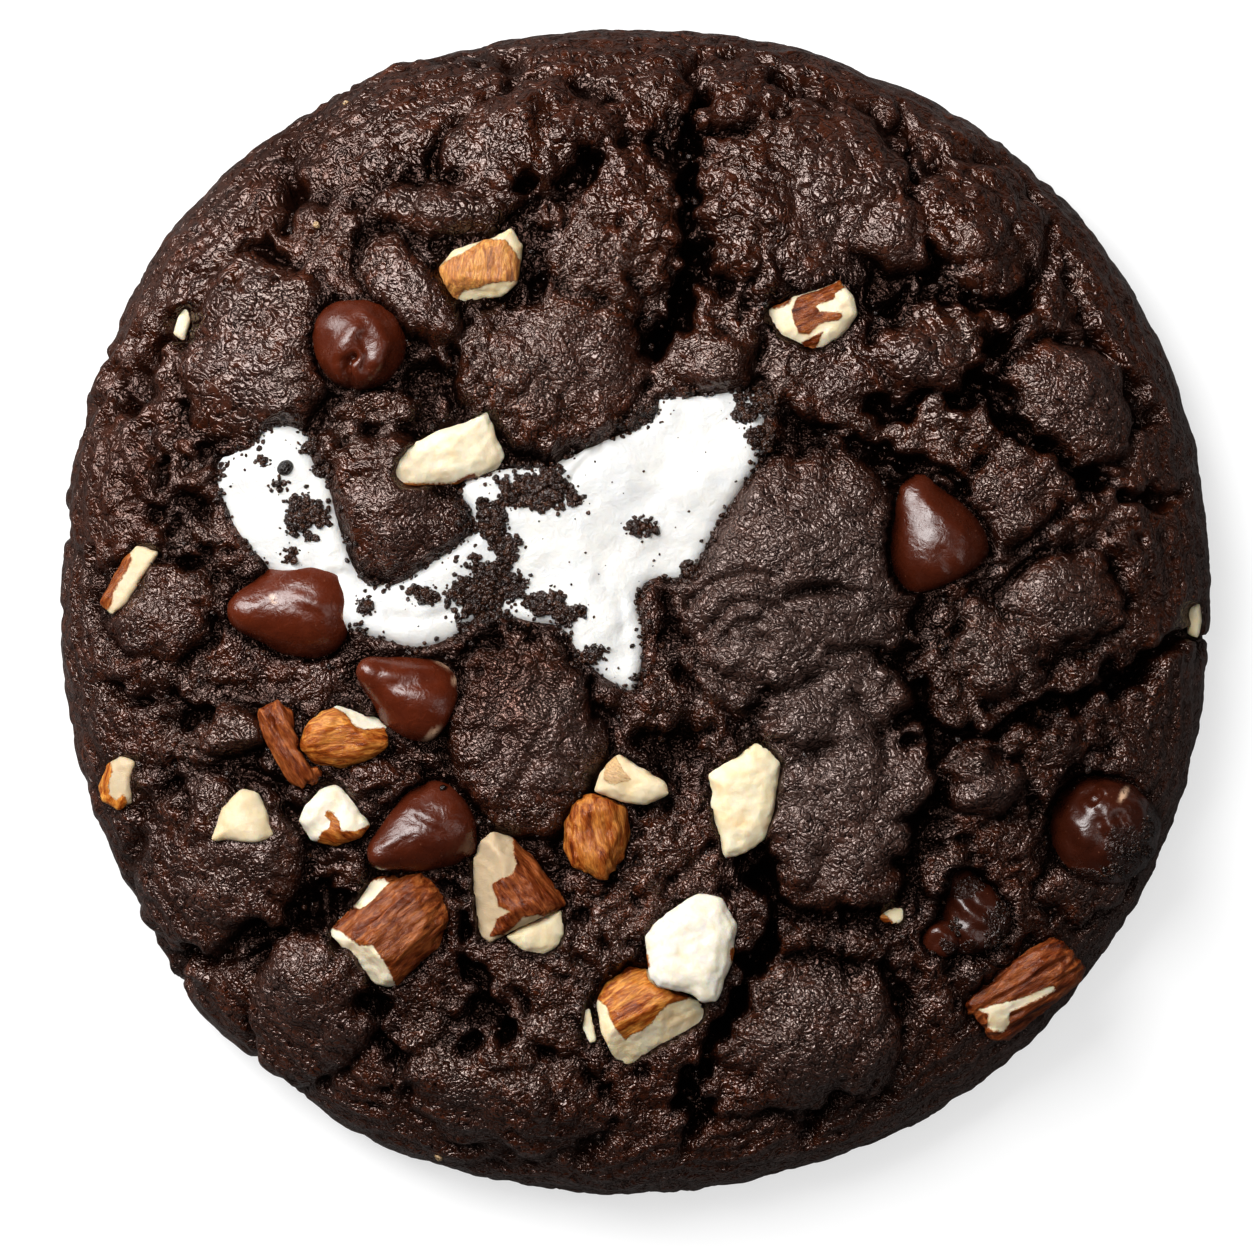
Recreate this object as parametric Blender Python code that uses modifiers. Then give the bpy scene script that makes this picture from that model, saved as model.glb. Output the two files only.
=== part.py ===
"""A thick rocky road cookie: dark chocolate dough with a pool of melted marshmallow,
chocolate chips and chopped almonds and pecans pressed into its top.

Metres, +Z up. The cookie rests on its flat base at z = 0, with its middle on the z axis.
Seen from above, +X is to the right and +Y is up the page.
"""
import math

import bmesh
import bpy
import numpy as np
from mathutils import Matrix, Vector, noise

MM = 0.001                      # one millimetre in metres

# ---- driving dimensions, in millimetres ----
WIDTH_X = 115.5                 # across the whole cookie
WIDTH_Y = 117.0
MEAN_RADIUS = (WIDTH_X + WIDTH_Y) / 4
THICKNESS = 18.4                # table to the smooth top, before lumps
WAIST_HEIGHT = 5.0              # height of the widest line of the side
TUCK = 4.5                      # how far the side draws in below the waist
SHOULDER = 3.9                  # larger makes a flatter top and a squarer shoulder
ROUNDING = 2.2                  # larger makes the side fall more steeply
SQUARED = 0.8                   # how far the round outline swells between its four sides
FULLER = 0.5                    # and how far towards its upper left
FULLER_TOWARDS = 120            # degrees
GAP = 0.32                      # clearance between pieces that touch

DOUGH_CELLS = 54                # cells across the dough's surface net
CHIP_SIDES = 14                 # facets round a chip, and rows down its side
CHIP_ROWS = 6
CHIP_RADIUS = 4.65              # a baking chip whose point has softened
CHIP_HEIGHT = 10.2
CHIP_BEND = 0.9                 # how far the point has slumped sideways

CRACK_OPENING = 1.35            # widens the cracks to what the dough's net can carry
SWELLS = (                      # crumpling of the skin: width of a swell and its rise
    (13.0, 1.05),
    (6.0, 0.75),
    (3.2, 0.40),
)

# ---- relief of the dough: x, y, half length, half width, turn in degrees, rise ----
LUMPS = (
    (16.0, 2.0, 14.5, 13.0, 60, 3.2),       # broad smooth lump right of the marshmallow
    (21.0, -19.8, 10.5, 9.0, 80, 2.2),      # plate below it
    (-11.2, -12.8, 10.4, 8.2, 100, 3.8),    # dome below the marshmallow
    (-8.2, 23.6, 10.0, 8.6, 20, 3.0),       # block above the marshmallow
    (-24.0, 10.2, 8.4, 7.2, 120, 2.6),      # lump between the marshmallow's arms
    (-38.2, 24.6, 11.0, 7.6, 80, 2.6),
    (7.2, 25.0, 5.6, 3.6, -10, 1.6),
    (-3.0, 38.0, 11.0, 8.4, 95, 2.0),
    (17.0, 40.5, 12.5, 11.0, 0, 2.6),
    (10.2, 51.2, 5.4, 4.0, 0, 2.0),
    (25.4, 37.2, 4.8, 4.6, 0, 3.2),
    (-19.0, 40.2, 8.4, 3.4, 6, 3.0),        # brow above the first almond
    (-22.4, 30.8, 8.0, 3.4, -52, 1.8),      # fold right of the upright chip
    (-24.0, 48.0, 12.0, 6.0, 25, 1.8),
    (-53.0, 12.2, 8.4, 5.0, 85, 2.2),
    (-42.0, -25.6, 9.8, 9.0, 60, 2.0),
    (-32.4, -39.2, 8.6, 6.6, 75, 3.0),      # dome low on the left
    (-13.0, -49.0, 11.0, 6.0, -10, 1.6),
    (17.6, -42.6, 9.8, 8.2, 10, 2.6),
    (34.8, -17.3, 3.6, 3.4, 0, 3.0),        # small dough-covered lump
    (-40.0, -12.2, 3.4, 3.0, 0, 1.6),
    (42.6, 1.0, 6.6, 5.2, 20, 1.9),
    (36.0, -4.2, 5.4, 5.2, 0, 1.8),
    (38.4, 11.8, 6.4, 5.2, 30, 1.7),
    (43.6, 20.4, 7.6, 6.2, -40, 2.0),
    (29.8, 25.6, 6.4, 5.0, 10, 1.8),
    (34.6, 38.0, 7.6, 6.6, -60, 1.7),
    (45.6, -26.6, 5.6, 4.2, 50, 1.8),       # dough over the side of a chip
    (-48.0, 0.0, 6.0, 5.4, 0, 1.8),
    (31.0, -25.8, 3.6, 2.4, 20, 1.0),
)

# ---- open cracks: depth, half width, then the points that the crack runs through ----
CRACKS = (
    (3.2, 1.7, (6.6, 53.0), (5.4, 45.0), (5.6, 40.6), (5.2, 31.0), (1.9, 25.5)),
    (1.6, 1.2, (15.0, 52.8), (15.0, 48.5), (10.0, 47.4), (6.2, 47.8)),
    (2.2, 1.5, (26.8, 49.2), (26.8, 46.6), (27.6, 42.0)),
    (2.6, 1.4, (29.9, 37.4), (29.9, 34.3), (27.2, 31.3), (24.9, 30.1)),
    (2.2, 1.3, (35.2, 26.7), (38.3, 28.6), (39.1, 30.9), (41.0, 32.4)),
    (2.6, 1.5, (23.0, 19.4), (29.0, 20.9), (36.8, 21.5), (37.2, 19.0), (47.9, 11.4), (54.0, 11.7)),
    (2.6, 1.5, (16.9, 18.6), (25.3, 15.2), (31.0, 13.7), (35.2, 11.0)),
    (1.8, 1.2, (42.5, 37.8), (46.3, 26.3), (50.2, 22.5), (51.3, 19.0)),
    (3.2, 1.6, (28.3, -7.3), (29.1, -13.4), (29.9, -16.9), (28.7, -21.5), (28.0, -24.5)),
    (3.0, 1.7, (31.0, -13.4), (42.5, -9.6), (48.2, -7.3), (52.1, -4.6), (56.5, -2.8)),
    (2.0, 1.2, (13.4, -29.1), (18.8, -30.3), (23.4, -29.9)),
    (3.4, 1.8, (11.0, -25.7), (13.8, -28.3), (13.6, -33.3), (8.1, -41.0), (6.2, -46.0), (5.6, -52.8)),
    (2.2, 1.6, (23.0, -46.7), (18.8, -50.2), (17.6, -52.8)),
    (2.6, 1.7, (-45.4, -35.2), (-41.2, -33.3), (-35.1, -32.2), (-30.9, -28.3)),
    (2.4, 1.5, (-26.7, -39.1), (-26.3, -42.9), (-23.2, -46.0), (-25.9, -48.6)),
    (2.2, 1.4, (-52.3, -8.5), (-47.4, -9.2), (-43.6, -10.4)),
    (2.4, 1.7, (-43.2, 32.8), (-36.6, 37.8), (-34.7, 42.0)),
    (2.0, 1.4, (-3.7, 44.3), (-12.2, 42.0)),
    (2.6, 1.9, (-52.3, 20.9), (-50.0, 25.5), (-47.0, 28.6)),
    (2.4, 1.3, (-29.6, -33.0), (-32.6, -31.6), (-25.9, -26.4), (-17.6, -28.0)),
    (2.0, 1.4, (-17.6, -31.6), (-15.0, -38.0), (-13.0, -42.6)),
)

# ---- round hollows: x, y, radius, depth ----
PITS = (
    (-50.8, 23.2, 3.0, 2.2), (-35.9, 38.5, 2.6, 1.8), (16.9, 18.6, 2.6, 1.8),
    (-15.6, -40.6, 2.8, 2.0), (-47.4, -9.2, 2.8, 1.6), (-45.4, 10.2, 4.6, 1.6),
    (3.0, -13.2, 3.0, 1.8), (12.4, -26.8, 2.4, 1.4), (-21.0, 22.6, 3.6, 1.8),
)

# ---- melted marshmallow: the shore of the pool, read clockwise from its left tip ----
SHORE = (
    (-40.8, 15.2), (-38.4, 16.5), (-36.9, 18.3), (-34.6, 18.9), (-32.6, 17.6), (-32.0, 14.9),
    (-30.6, 13.0), (-29.6, 9.2), (-28.4, 5.4), (-26.6, 3.0), (-24.0, 2.8), (-21.0, 4.6),
    (-17.6, 6.9), (-16.2, 9.4), (-17.8, 11.8), (-16.2, 13.6), (-12.8, 14.4), (-8.2, 14.6),
    (-4.2, 16.8), (-1.0, 18.0), (2.0, 19.8), (2.4, 21.4), (6.2, 21.7), (10.8, 22.3),
    (12.9, 20.6), (12.4, 15.6), (11.0, 13.0), (8.4, 8.6), (6.8, 5.6), (5.4, 3.2),
    (1.6, 2.9), (0.4, 1.0), (0.8, -2.4), (0.4, -6.4), (-0.6, -8.0), (-4.8, -5.2),
    (-7.4, -1.6), (-10.6, -1.2), (-15.0, -0.2), (-18.0, -2.6), (-22.0, -3.6), (-26.0, -2.4),
    (-29.4, -1.2), (-33.0, 1.6), (-36.0, 4.0), (-38.6, 6.2), (-40.4, 9.0), (-41.6, 12.4),
)
POOL_PROUD = 0.7                # the pool's flat top above the smooth top of the dough
POOL_DEPTH = 4.6
POOL_LIP = 1.1                  # width of the rounded shore
POOL_LIP_RISE = 0.8
POOL_LONGEST_EDGE = 6.0         # so that its top can follow the dome

# ---- chips: x, y, azimuth and rise of the point in degrees, size, height above the dough,
# and slump, from 0 for a pointed chip to 1 for one that has melted to a dome ----
CHIPS = {
    "chip_1": (-27.7, 26.6, 262, 62, 0.98, 3.4, 0.9),
    "chip_2": (-34.5, 0.5, 186, 14, 1.08, 2.4, 0.1),
    "chip_3": (-22.7, -8.8, 155, 16, 0.93, 3.0, 0.0),
    "chip_4": (-21.3, -21.3, 205, 20, 1.00, 3.2, 0.0),
    "chip_5": (30.3, 7.7, 117, 8, 1.16, 2.2, 0.4),
    "chip_6": (46.6, -20.5, 60, 62, 1.06, 2.6, 1.0),
    "chip_7": (34.2, -30.6, 125, 16, 0.80, 1.2, 0.5),
    "chip_8": (30.3, -32.7, 100, 60, 0.38, 1.0, 1.0),
}

# ---- chopped nuts: the outline of each piece as it lies, then how it is shaped ----
# proud: top above the dough; deep: whole thickness; grain: direction of the nut's length
# in degrees; crown: how much the skin side falls away across the grain; lean: the direction
# that the top slopes down to, and the slope; cuts: knife cuts as x, y, direction, steepness
NUTS = {
    "almond_1": dict(
        outline=((-19.9, 34.5), (-18.0, 36.2), (-14.0, 37.5), (-12.4, 38.4), (-11.2, 36.6),
                 (-11.7, 32.8), (-13.4, 31.4), (-18.6, 30.5)),
        proud=2.6, deep=7.0, grain=84, crown=0.5, lean=(95, 9), cuts=((-15.2, 32.6, 262, 40),)),
    "almond_2": dict(
        outline=((12.7, 30.3), (15.9, 31.9), (20.4, 33.1), (21.8, 31.6), (22.2, 29.8),
                 (21.0, 27.8), (19.2, 26.2), (17.5, 25.7), (14.2, 27.7)),
        proud=1.6, deep=6.0, grain=20, crown=1.0, lean=(200, 6), cuts=()),
    "almond_3": dict(
        outline=((-24.7, 13.8), (-23.3, 16.3), (-19.4, 18.2), (-17.0, 18.9), (-14.6, 20.3),
                 (-14.0, 17.9), (-13.0, 15.6), (-13.6, 14.3), (-18.0, 12.7), (-23.4, 12.4)),
        proud=1.3, deep=5.0, grain=20, crown=0.2, lean=(290, 8), cuts=()),
    "almond_4": dict(
        outline=((-53.6, 0.9), (-51.2, 5.2), (-49.7, 6.9), (-47.4, 6.2), (-48.8, 4.0),
                 (-50.9, 0.7), (-52.4, -0.4)),
        proud=1.2, deep=4.4, grain=58, crown=0.5, lean=(150, 18), cuts=()),
    "almond_5": dict(
        outline=((-44.7, 31.2), (-44.2, 29.8), (-45.2, 27.1), (-46.3, 27.8), (-45.6, 29.8)),
        proud=0.4, deep=3.0, grain=70, crown=0.2, lean=(0, 0), cuts=()),
    "almond_6": dict(
        outline=((-33.6, -13.5), (-33.0, -11.4), (-31.4, -9.9), (-29.9, -9.2), (-26.5, -10.1),
                 (-24.6, -11.3), (-24.7, -13.4), (-26.6, -14.9), (-29.7, -15.9), (-32.3, -15.1)),
        proud=2.4, deep=6.4, grain=4, crown=1.2, lean=(230, 6), cuts=((-27.4, -11.4, 62, 46),)),
    "almond_7": dict(
        outline=((-33.7, -20.9), (-33.0, -19.2), (-31.4, -17.7), (-29.8, -17.0), (-28.2, -18.2),
                 (-26.5, -21.2), (-27.4, -22.5), (-30.0, -23.4), (-32.4, -22.8)),
        proud=2.2, deep=6.2, grain=150, crown=0.9, lean=(90, 4), cuts=()),
    "almond_8": dict(
        outline=((-42.4, -22.8), (-41.3, -19.6), (-39.5, -17.7), (-37.8, -17.8), (-36.9, -19.2),
                 (-35.9, -22.3), (-37.6, -23.0)),
        proud=1.8, deep=5.4, grain=90, crown=0.5, lean=(80, 14), cuts=()),
    "almond_9": dict(
        outline=((-51.6, -14.2), (-49.8, -14.7), (-50.5, -16.8), (-50.3, -19.1), (-51.8, -19.9),
                 (-53.4, -18.9), (-53.8, -17.4), (-52.9, -15.3)),
        proud=1.2, deep=4.6, grain=80, crown=0.7, lean=(180, 22), cuts=()),
    "almond_10": dict(
        outline=((-31.0, -31.9), (-28.2, -29.1), (-26.6, -26.6), (-21.4, -25.8), (-19.6, -27.5),
                 (-18.4, -30.4), (-19.7, -33.8), (-24.0, -37.6), (-26.2, -37.2), (-29.3, -33.7)),
        proud=4.0, deep=9.0, grain=38, crown=2.0, lean=(60, 5),
        cuts=((-27.2, -34.0, 226, 48), (-26.9, -28.6, 136, 40))),
    "almond_11": dict(
        outline=((-16.3, -23.4), (-14.2, -21.8), (-12.4, -22.4), (-9.8, -24.6), (-6.7, -29.3),
                 (-9.5, -30.6), (-14.6, -33.1), (-15.9, -31.9), (-16.4, -28.0)),
        proud=3.2, deep=7.6, grain=-52, crown=1.6, lean=(60, 6), cuts=((-14.0, -27.0, 190, 38),)),
    "almond_12": dict(
        outline=((-12.6, -32.9), (-9.5, -31.2), (-6.9, -30.1), (-6.5, -32.6), (-7.1, -34.0),
                 (-8.7, -35.0), (-10.9, -34.4)),
        proud=1.2, deep=5.0, grain=20, crown=0.5, lean=(280, 8), cuts=()),
    "almond_13": dict(
        outline=((-7.0, -21.0), (-6.4, -19.2), (-4.9, -18.2), (-2.1, -18.3), (-0.9, -19.6),
                 (-0.5, -21.8), (-1.1, -24.4), (-3.1, -26.9), (-6.4, -25.3), (-7.1, -23.4)),
        proud=3.0, deep=7.6, grain=80, crown=1.8, lean=(100, 4), cuts=()),
    "almond_14": dict(
        outline=((-4.2, -17.9), (-3.5, -15.9), (-1.7, -14.1), (0.8, -15.7), (3.1, -17.0),
                 (3.4, -18.2), (1.0, -19.3), (-1.2, -19.1)),
        proud=3.6, deep=6.0, grain=-22, crown=0.6, lean=(200, 8), cuts=()),
    "almond_15": dict(
        outline=((7.2, -16.2), (11.8, -13.1), (13.5, -13.2), (14.8, -14.8), (13.9, -20.2),
                 (13.0, -22.6), (10.8, -24.3), (8.9, -24.6), (7.4, -19.6), (7.7, -18.0)),
        proud=2.2, deep=6.6, grain=100, crown=0.4, lean=(280, 5), cuts=()),
    "almond_16": dict(
        outline=((0.9, -32.4), (1.8, -31.0), (5.0, -28.7), (6.4, -28.0), (8.8, -28.5),
                 (10.2, -31.3), (9.7, -35.0), (8.1, -38.9), (6.8, -39.0), (5.4, -38.1),
                 (2.2, -37.4), (1.3, -36.4)),
        proud=4.2, deep=5.4, grain=70, crown=0.4, lean=(70, 6), cuts=()),
    "almond_17": dict(
        outline=((-4.0, -39.0), (-3.2, -36.9), (-0.8, -34.9), (2.2, -35.6), (5.6, -37.4),
                 (7.2, -39.4), (7.1, -41.1), (2.4, -43.9), (-1.1, -45.8), (-2.4, -44.4),
                 (-3.4, -42.0)),
        proud=2.6, deep=7.0, grain=30, crown=0.7, lean=(120, 6), cuts=((1.6, -41.2, 296, 34),)),
    "almond_18": dict(
        outline=((-5.2, -39.6), (-4.6, -39.5), (-3.8, -43.0), (-4.6, -43.2), (-5.3, -41.6)),
        proud=0.8, deep=3.2, grain=95, crown=0.1, lean=(0, 0), cuts=()),
    "almond_19": dict(
        outline=((23.6, -30.1), (25.5, -29.2), (26.9, -29.6), (26.9, -30.8), (26.1, -31.3),
                 (24.8, -31.0)),
        proud=0.6, deep=3.2, grain=0, crown=0.2, lean=(0, 0), cuts=()),
    "almond_20": dict(
        outline=((55.2, 0.8), (56.5, 0.9), (56.8, -0.8), (56.4, -2.6), (55.3, -2.2)),
        proud=1.0, deep=3.6, grain=90, crown=0.2, lean=(0, 0), cuts=()),
    "pecan_1": dict(
        outline=((32.6, -39.5), (34.4, -37.1), (37.6, -34.9), (41.8, -32.6), (43.2, -33.4),
                 (45.0, -35.6), (44.5, -36.9), (41.7, -39.2), (37.2, -42.8), (35.5, -42.6),
                 (34.4, -40.9)),
        proud=3.4, deep=6.8, grain=36, crown=1.5, lean=(300, 12), cuts=()),
    "pecan_2": dict(
        outline=((-37.6, -9.9), (-35.7, -8.7), (-34.3, -9.8), (-33.7, -12.6), (-32.8, -14.9),
                 (-31.2, -16.0), (-32.0, -17.1), (-33.3, -17.7), (-34.5, -17.2), (-36.1, -14.7),
                 (-37.3, -12.2)),
        proud=1.9, deep=5.0, grain=-62, crown=0.9, lean=(200, 5), cuts=()),
}

# which piece lies on which: the first is cut away where the second rests on it
LAID_ON = (
    ("marshmallow", "chip_2"), ("marshmallow", "almond_3"), ("almond_17", "almond_16"),
    ("almond_12", "almond_11"), ("almond_13", "almond_14"), ("pecan_2", "almond_6"),
    ("almond_11", "chip_4"), ("almond_10", "chip_4"), ("almond_6", "chip_3"),
    ("chip_8", "chip_7"), ("chip_7", "pecan_1"), ("almond_18", "almond_17"),
)

CLEAR_ABOVE = 9.0               # no dough stands over a piece, up to this height

# ---- finishes: base colour (linear), roughness ----
DOUGH_BROWN = ((0.030, 0.016, 0.012), 0.55)
MARSHMALLOW_WHITE = ((0.90, 0.88, 0.85), 0.40)
CHOCOLATE_BROWN = ((0.130, 0.045, 0.024), 0.35)
ALMOND_CREAM = ((0.90, 0.80, 0.58), 0.50)
PECAN_BROWN = ((0.230, 0.090, 0.040), 0.45)


# ---------------------------------------------------------------- scene and materials

def clear_scene():
    for thing in list(bpy.data.objects):
        bpy.data.objects.remove(thing, do_unlink=True)


def new_collection(name):
    collection = bpy.data.collections.new(name)
    bpy.context.scene.collection.children.link(collection)
    return collection


def finish_material(name, finish):
    colour, roughness = finish
    material = bpy.data.materials.new(name)
    material.use_nodes = True
    shader = material.node_tree.nodes["Principled BSDF"]
    shader.inputs["Base Color"].default_value = (*colour, 1.0)
    shader.inputs["Roughness"].default_value = roughness
    shader.inputs["Metallic"].default_value = 0.0
    material.diffuse_color = (*colour, 1.0)
    return material


def add_object(name, bm, collection, finish):
    """Turn a bmesh in millimetres into an object in metres."""
    bmesh.ops.scale(bm, vec=(MM, MM, MM), verts=bm.verts)
    mesh = bpy.data.meshes.new(name)
    bm.to_mesh(mesh)
    bm.free()
    mesh.shade_smooth()
    mesh.set_sharp_from_angle(angle=math.radians(35))
    thing = bpy.data.objects.new(name, mesh)
    thing.data.materials.append(finish_material(name + "_finish", finish))
    collection.objects.link(thing)
    return thing


# ---------------------------------------------------------------- the dough's surface

def side_profile(steps=240):
    """Radius (as a share of the full radius) and height along the side, from the middle
    of the top, over the shoulder and the waist, to the edge of the base."""
    dome = THICKNESS - WAIST_HEIGHT
    radius, height = [], []
    for step in range(steps + 1):
        share = math.sin(math.pi / 2 * step / steps)
        radius.append(share)
        height.append(WAIST_HEIGHT + dome * max(0.0, 1 - share ** SHOULDER) ** (1 / ROUNDING))
    for step in range(1, steps // 4 + 1):
        turn = math.pi / 2 * step / (steps // 4)
        radius.append(1 - TUCK / MEAN_RADIUS * (1 - math.cos(turn)))
        height.append(WAIST_HEIGHT * (1 - math.sin(turn)))
    radius, height = np.array(radius), np.array(height)
    travel = np.hypot(np.diff(radius) * MEAN_RADIUS, np.diff(height))
    along = np.concatenate(([0.0], np.cumsum(travel)))
    return along / along[-1], radius, height


def rim_radius(angle):
    """The cookie's outline: nearly round, a little squared, fullest at the upper left."""
    squared = SQUARED * (0.5 - np.cos(4 * angle))
    return MEAN_RADIUS + squared + FULLER * np.cos(angle - math.radians(FULLER_TOWARDS))


def smooth_top(x, y):
    """Height of the smooth dome, before its lumps, above a place on the table."""
    share = np.minimum(np.hypot(x, y) / rim_radius(np.arctan2(y, x)), 1.0)
    dome = THICKNESS - WAIST_HEIGHT
    return WAIST_HEIGHT + dome * (1 - share ** SHOULDER) ** (1 / ROUNDING)


def lump_rise(x, y):
    """The highest of the lumps at each place, with creases where they meet."""
    rise = np.zeros_like(x)
    for centre_x, centre_y, half_length, half_width, turn, height in LUMPS:
        cos, sin = math.cos(math.radians(turn)), math.sin(math.radians(turn))
        along = ((x - centre_x) * cos + (y - centre_y) * sin) / half_length
        across = ((y - centre_y) * cos - (x - centre_x) * sin) / half_width
        inside = np.clip(1 - (along ** 2 + across ** 2) ** 1.5, 0.0, 1.0)
        rise = np.maximum(rise, height * inside)
    return rise


def crack_depth(x, y):
    """How far the open cracks and the round hollows sink below the surface."""
    depth = np.zeros_like(x)
    for deep, half_width, *points in CRACKS:
        nearest = np.full_like(x, 1e9)
        for (ax, ay), (bx, by) in zip(points[:-1], points[1:]):
            length = (bx - ax) ** 2 + (by - ay) ** 2
            share = np.clip(((x - ax) * (bx - ax) + (y - ay) * (by - ay)) / length, 0.0, 1.0)
            gap = np.hypot(x - ax - share * (bx - ax), y - ay - share * (by - ay))
            nearest = np.minimum(nearest, gap)
        depth = np.maximum(depth, deep * np.exp(-(nearest / half_width / CRACK_OPENING) ** 2))
    for centre_x, centre_y, radius, deep in PITS:
        gap = np.hypot(x - centre_x, y - centre_y)
        depth = np.maximum(depth, deep * np.exp(-(gap / radius) ** 2))
    return depth


def crumple(x, y, z):
    """Uneven rise and fall of the baked skin, from broad swells to small knobs."""
    rise = np.zeros_like(x)
    for index, place in enumerate(zip(x, y, z)):
        for layer, (width, height) in enumerate(SWELLS):
            spot = Vector(place) / width + Vector((7, 3, 1)) * layer
            rise[index] += height * noise.noise(spot)
    return rise


def relief(x, y, z):
    """Everything that stands above or sinks below the smooth dough."""
    return lump_rise(x, y) - crack_depth(x, y) + crumple(x, y, z)


def top_of_dough(x, y):
    """Height of the finished dough above one place on the table."""
    x, y = np.array([float(x)]), np.array([float(y)])
    base = smooth_top(x, y)
    return float((base + relief(x, y, base))[0])


def dough_around(places):
    """Mean height of the finished dough at a few places."""
    return sum(top_of_dough(x, y) for x, y in places) / len(places)


def disc_place(u, v):
    """Where a place on a square net lies on a disc: its ring (0 to 1) and its angle."""
    sideways = np.abs(u) >= np.abs(v)
    signed = np.where(sideways, u, v)
    safe = np.where(signed == 0, 1.0, signed)
    eighth = math.pi / 4
    angle = np.where(sideways, eighth * v / safe, 2 * eighth - eighth * u / safe)
    return np.abs(signed), np.arctan2(signed * np.sin(angle), signed * np.cos(angle))


def fit_widths(bm):
    """Bring the whole cookie to its measured widths, with its middle on the z axis."""
    places = np.array([vertex.co for vertex in bm.verts])
    low, high = places.min(axis=0), places.max(axis=0)
    stretch = Vector((WIDTH_X / (high[0] - low[0]), WIDTH_Y / (high[1] - low[1]), 1.0))
    middle = Vector(((low[0] + high[0]) / 2, (low[1] + high[1]) / 2, 0.0))
    bmesh.ops.translate(bm, vec=-middle, verts=bm.verts)
    bmesh.ops.scale(bm, vec=stretch, verts=bm.verts)


def dough_bmesh(cells):
    """A square net wrapped over the cookie, from the middle of its top to its base."""
    bm = bmesh.new()
    bmesh.ops.create_grid(bm, x_segments=cells, y_segments=cells, size=1.0)
    net = np.array([vertex.co for vertex in bm.verts])
    ring, angle = disc_place(net[:, 0], net[:, 1])
    along, share, height = side_profile()
    rim = rim_radius(angle)
    radius = np.interp(ring, along, share) * rim
    z = np.interp(ring, along, height)
    rise = np.interp(ring, along, np.gradient(height, along))
    reach = np.interp(ring, along, np.gradient(share, along)) * rim
    steepness = np.hypot(rise, reach)
    push = relief(radius * np.cos(angle), radius * np.sin(angle), z)
    push = push * np.clip(z / WAIST_HEIGHT, 0.0, 1.0)
    radius = radius - push * rise / steepness
    z = np.maximum(z + push * reach / steepness, 0.0)
    for vertex, place in zip(bm.verts, zip(radius * np.cos(angle), radius * np.sin(angle), z)):
        vertex.co = place
    inner = [vertex for vertex in bm.verts if not vertex.is_boundary]
    bmesh.ops.smooth_vert(bm, verts=inner, factor=0.4, use_axis_x=True, use_axis_y=True, use_axis_z=True)
    fit_widths(bm)
    base_edge = [edge for edge in bm.edges if edge.is_boundary]
    bmesh.ops.edgeloop_fill(bm, edges=base_edge)
    bmesh.ops.recalc_face_normals(bm, faces=bm.faces)
    bmesh.ops.triangulate(bm, faces=bm.faces)
    return bm


# ---------------------------------------------------------------- marshmallow

def smooth_shore(points, per_span=2):
    """More points on a smooth closed curve through the given ones."""
    curve = []
    count = len(points)
    for index in range(count):
        before, here, after, beyond = (Vector(points[(index + k) % count]) for k in (-1, 0, 1, 2))
        for step in range(per_span):
            t = step / per_span
            bend = (2 * before - 5 * here + 4 * after - beyond) * t * t
            twist = (3 * here - before - 3 * after + beyond) * t ** 3
            curve.append((2 * here + (after - before) * t + bend + twist) / 2)
    return curve


def slab(outline, deep):
    """A flat outline made solid, with its top at z = 0; returns the bmesh and its top face."""
    bm = bmesh.new()
    top = bm.faces.new([bm.verts.new((x, y, 0.0)) for x, y in outline])
    bm.normal_update()
    if top.normal.z < 0:
        top.normal_flip()
    made = bmesh.ops.extrude_face_region(bm, geom=[top])["geom"]
    top = next(item for item in made if isinstance(item, bmesh.types.BMFace))
    lower = [vertex for vertex in bm.verts if vertex not in set(top.verts)]
    bmesh.ops.translate(bm, vec=(0, 0, -deep), verts=lower)
    bmesh.ops.recalc_face_normals(bm, faces=bm.faces)
    return bm, top


def grown(outline, distance):
    """The outline moved outwards; its points run clockwise."""
    moved = []
    count = len(outline)
    for index, point in enumerate(outline):
        along = (outline[(index + 1) % count] - outline[index - 1]).normalized()
        moved.append(point + distance * Vector((-along.y, along.x)))
    return moved


def follow_dome(bm, height):
    """Bend a flat shape over the cookie's dome."""
    for vertex in bm.verts:
        level = smooth_top(np.array([vertex.co.x]), np.array([vertex.co.y]))[0]
        vertex.co.z += float(level) + height


def marshmallow_bmesh():
    """A melted pool with a rounded shore, whose top follows the cookie's dome."""
    bm, top = slab(smooth_shore(SHORE), POOL_DEPTH)
    bmesh.ops.inset_region(bm, faces=[top], thickness=POOL_LIP, depth=POOL_LIP_RISE,
                           use_even_offset=True)
    bmesh.ops.triangulate(bm, faces=[top])
    long_edges = [edge for edge in bm.edges if edge.calc_length() > POOL_LONGEST_EDGE]
    bmesh.ops.subdivide_edges(bm, edges=long_edges, cuts=1)
    bmesh.ops.triangulate(bm, faces=bm.faces)
    follow_dome(bm, POOL_PROUD - POOL_LIP_RISE)
    return bm


# ---------------------------------------------------------------- chips

def chip_profile(size, slump):
    """A baking chip's side, from its blunt point down to the middle of its flat base."""
    radius = CHIP_RADIUS * size
    height = CHIP_HEIGHT * size * (1 - 0.3 * slump)
    side = [(0.0, height)]
    for row in range(CHIP_ROWS):
        up = 0.96 * (1 - (row + 0.2) / CHIP_ROWS)
        side.append((radius * (1 - 0.8 * up ** (1.3 + 1.7 * slump)), height * up))
    return side + [(radius * 0.88, 0.0), (0.0, 0.0)]


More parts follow.
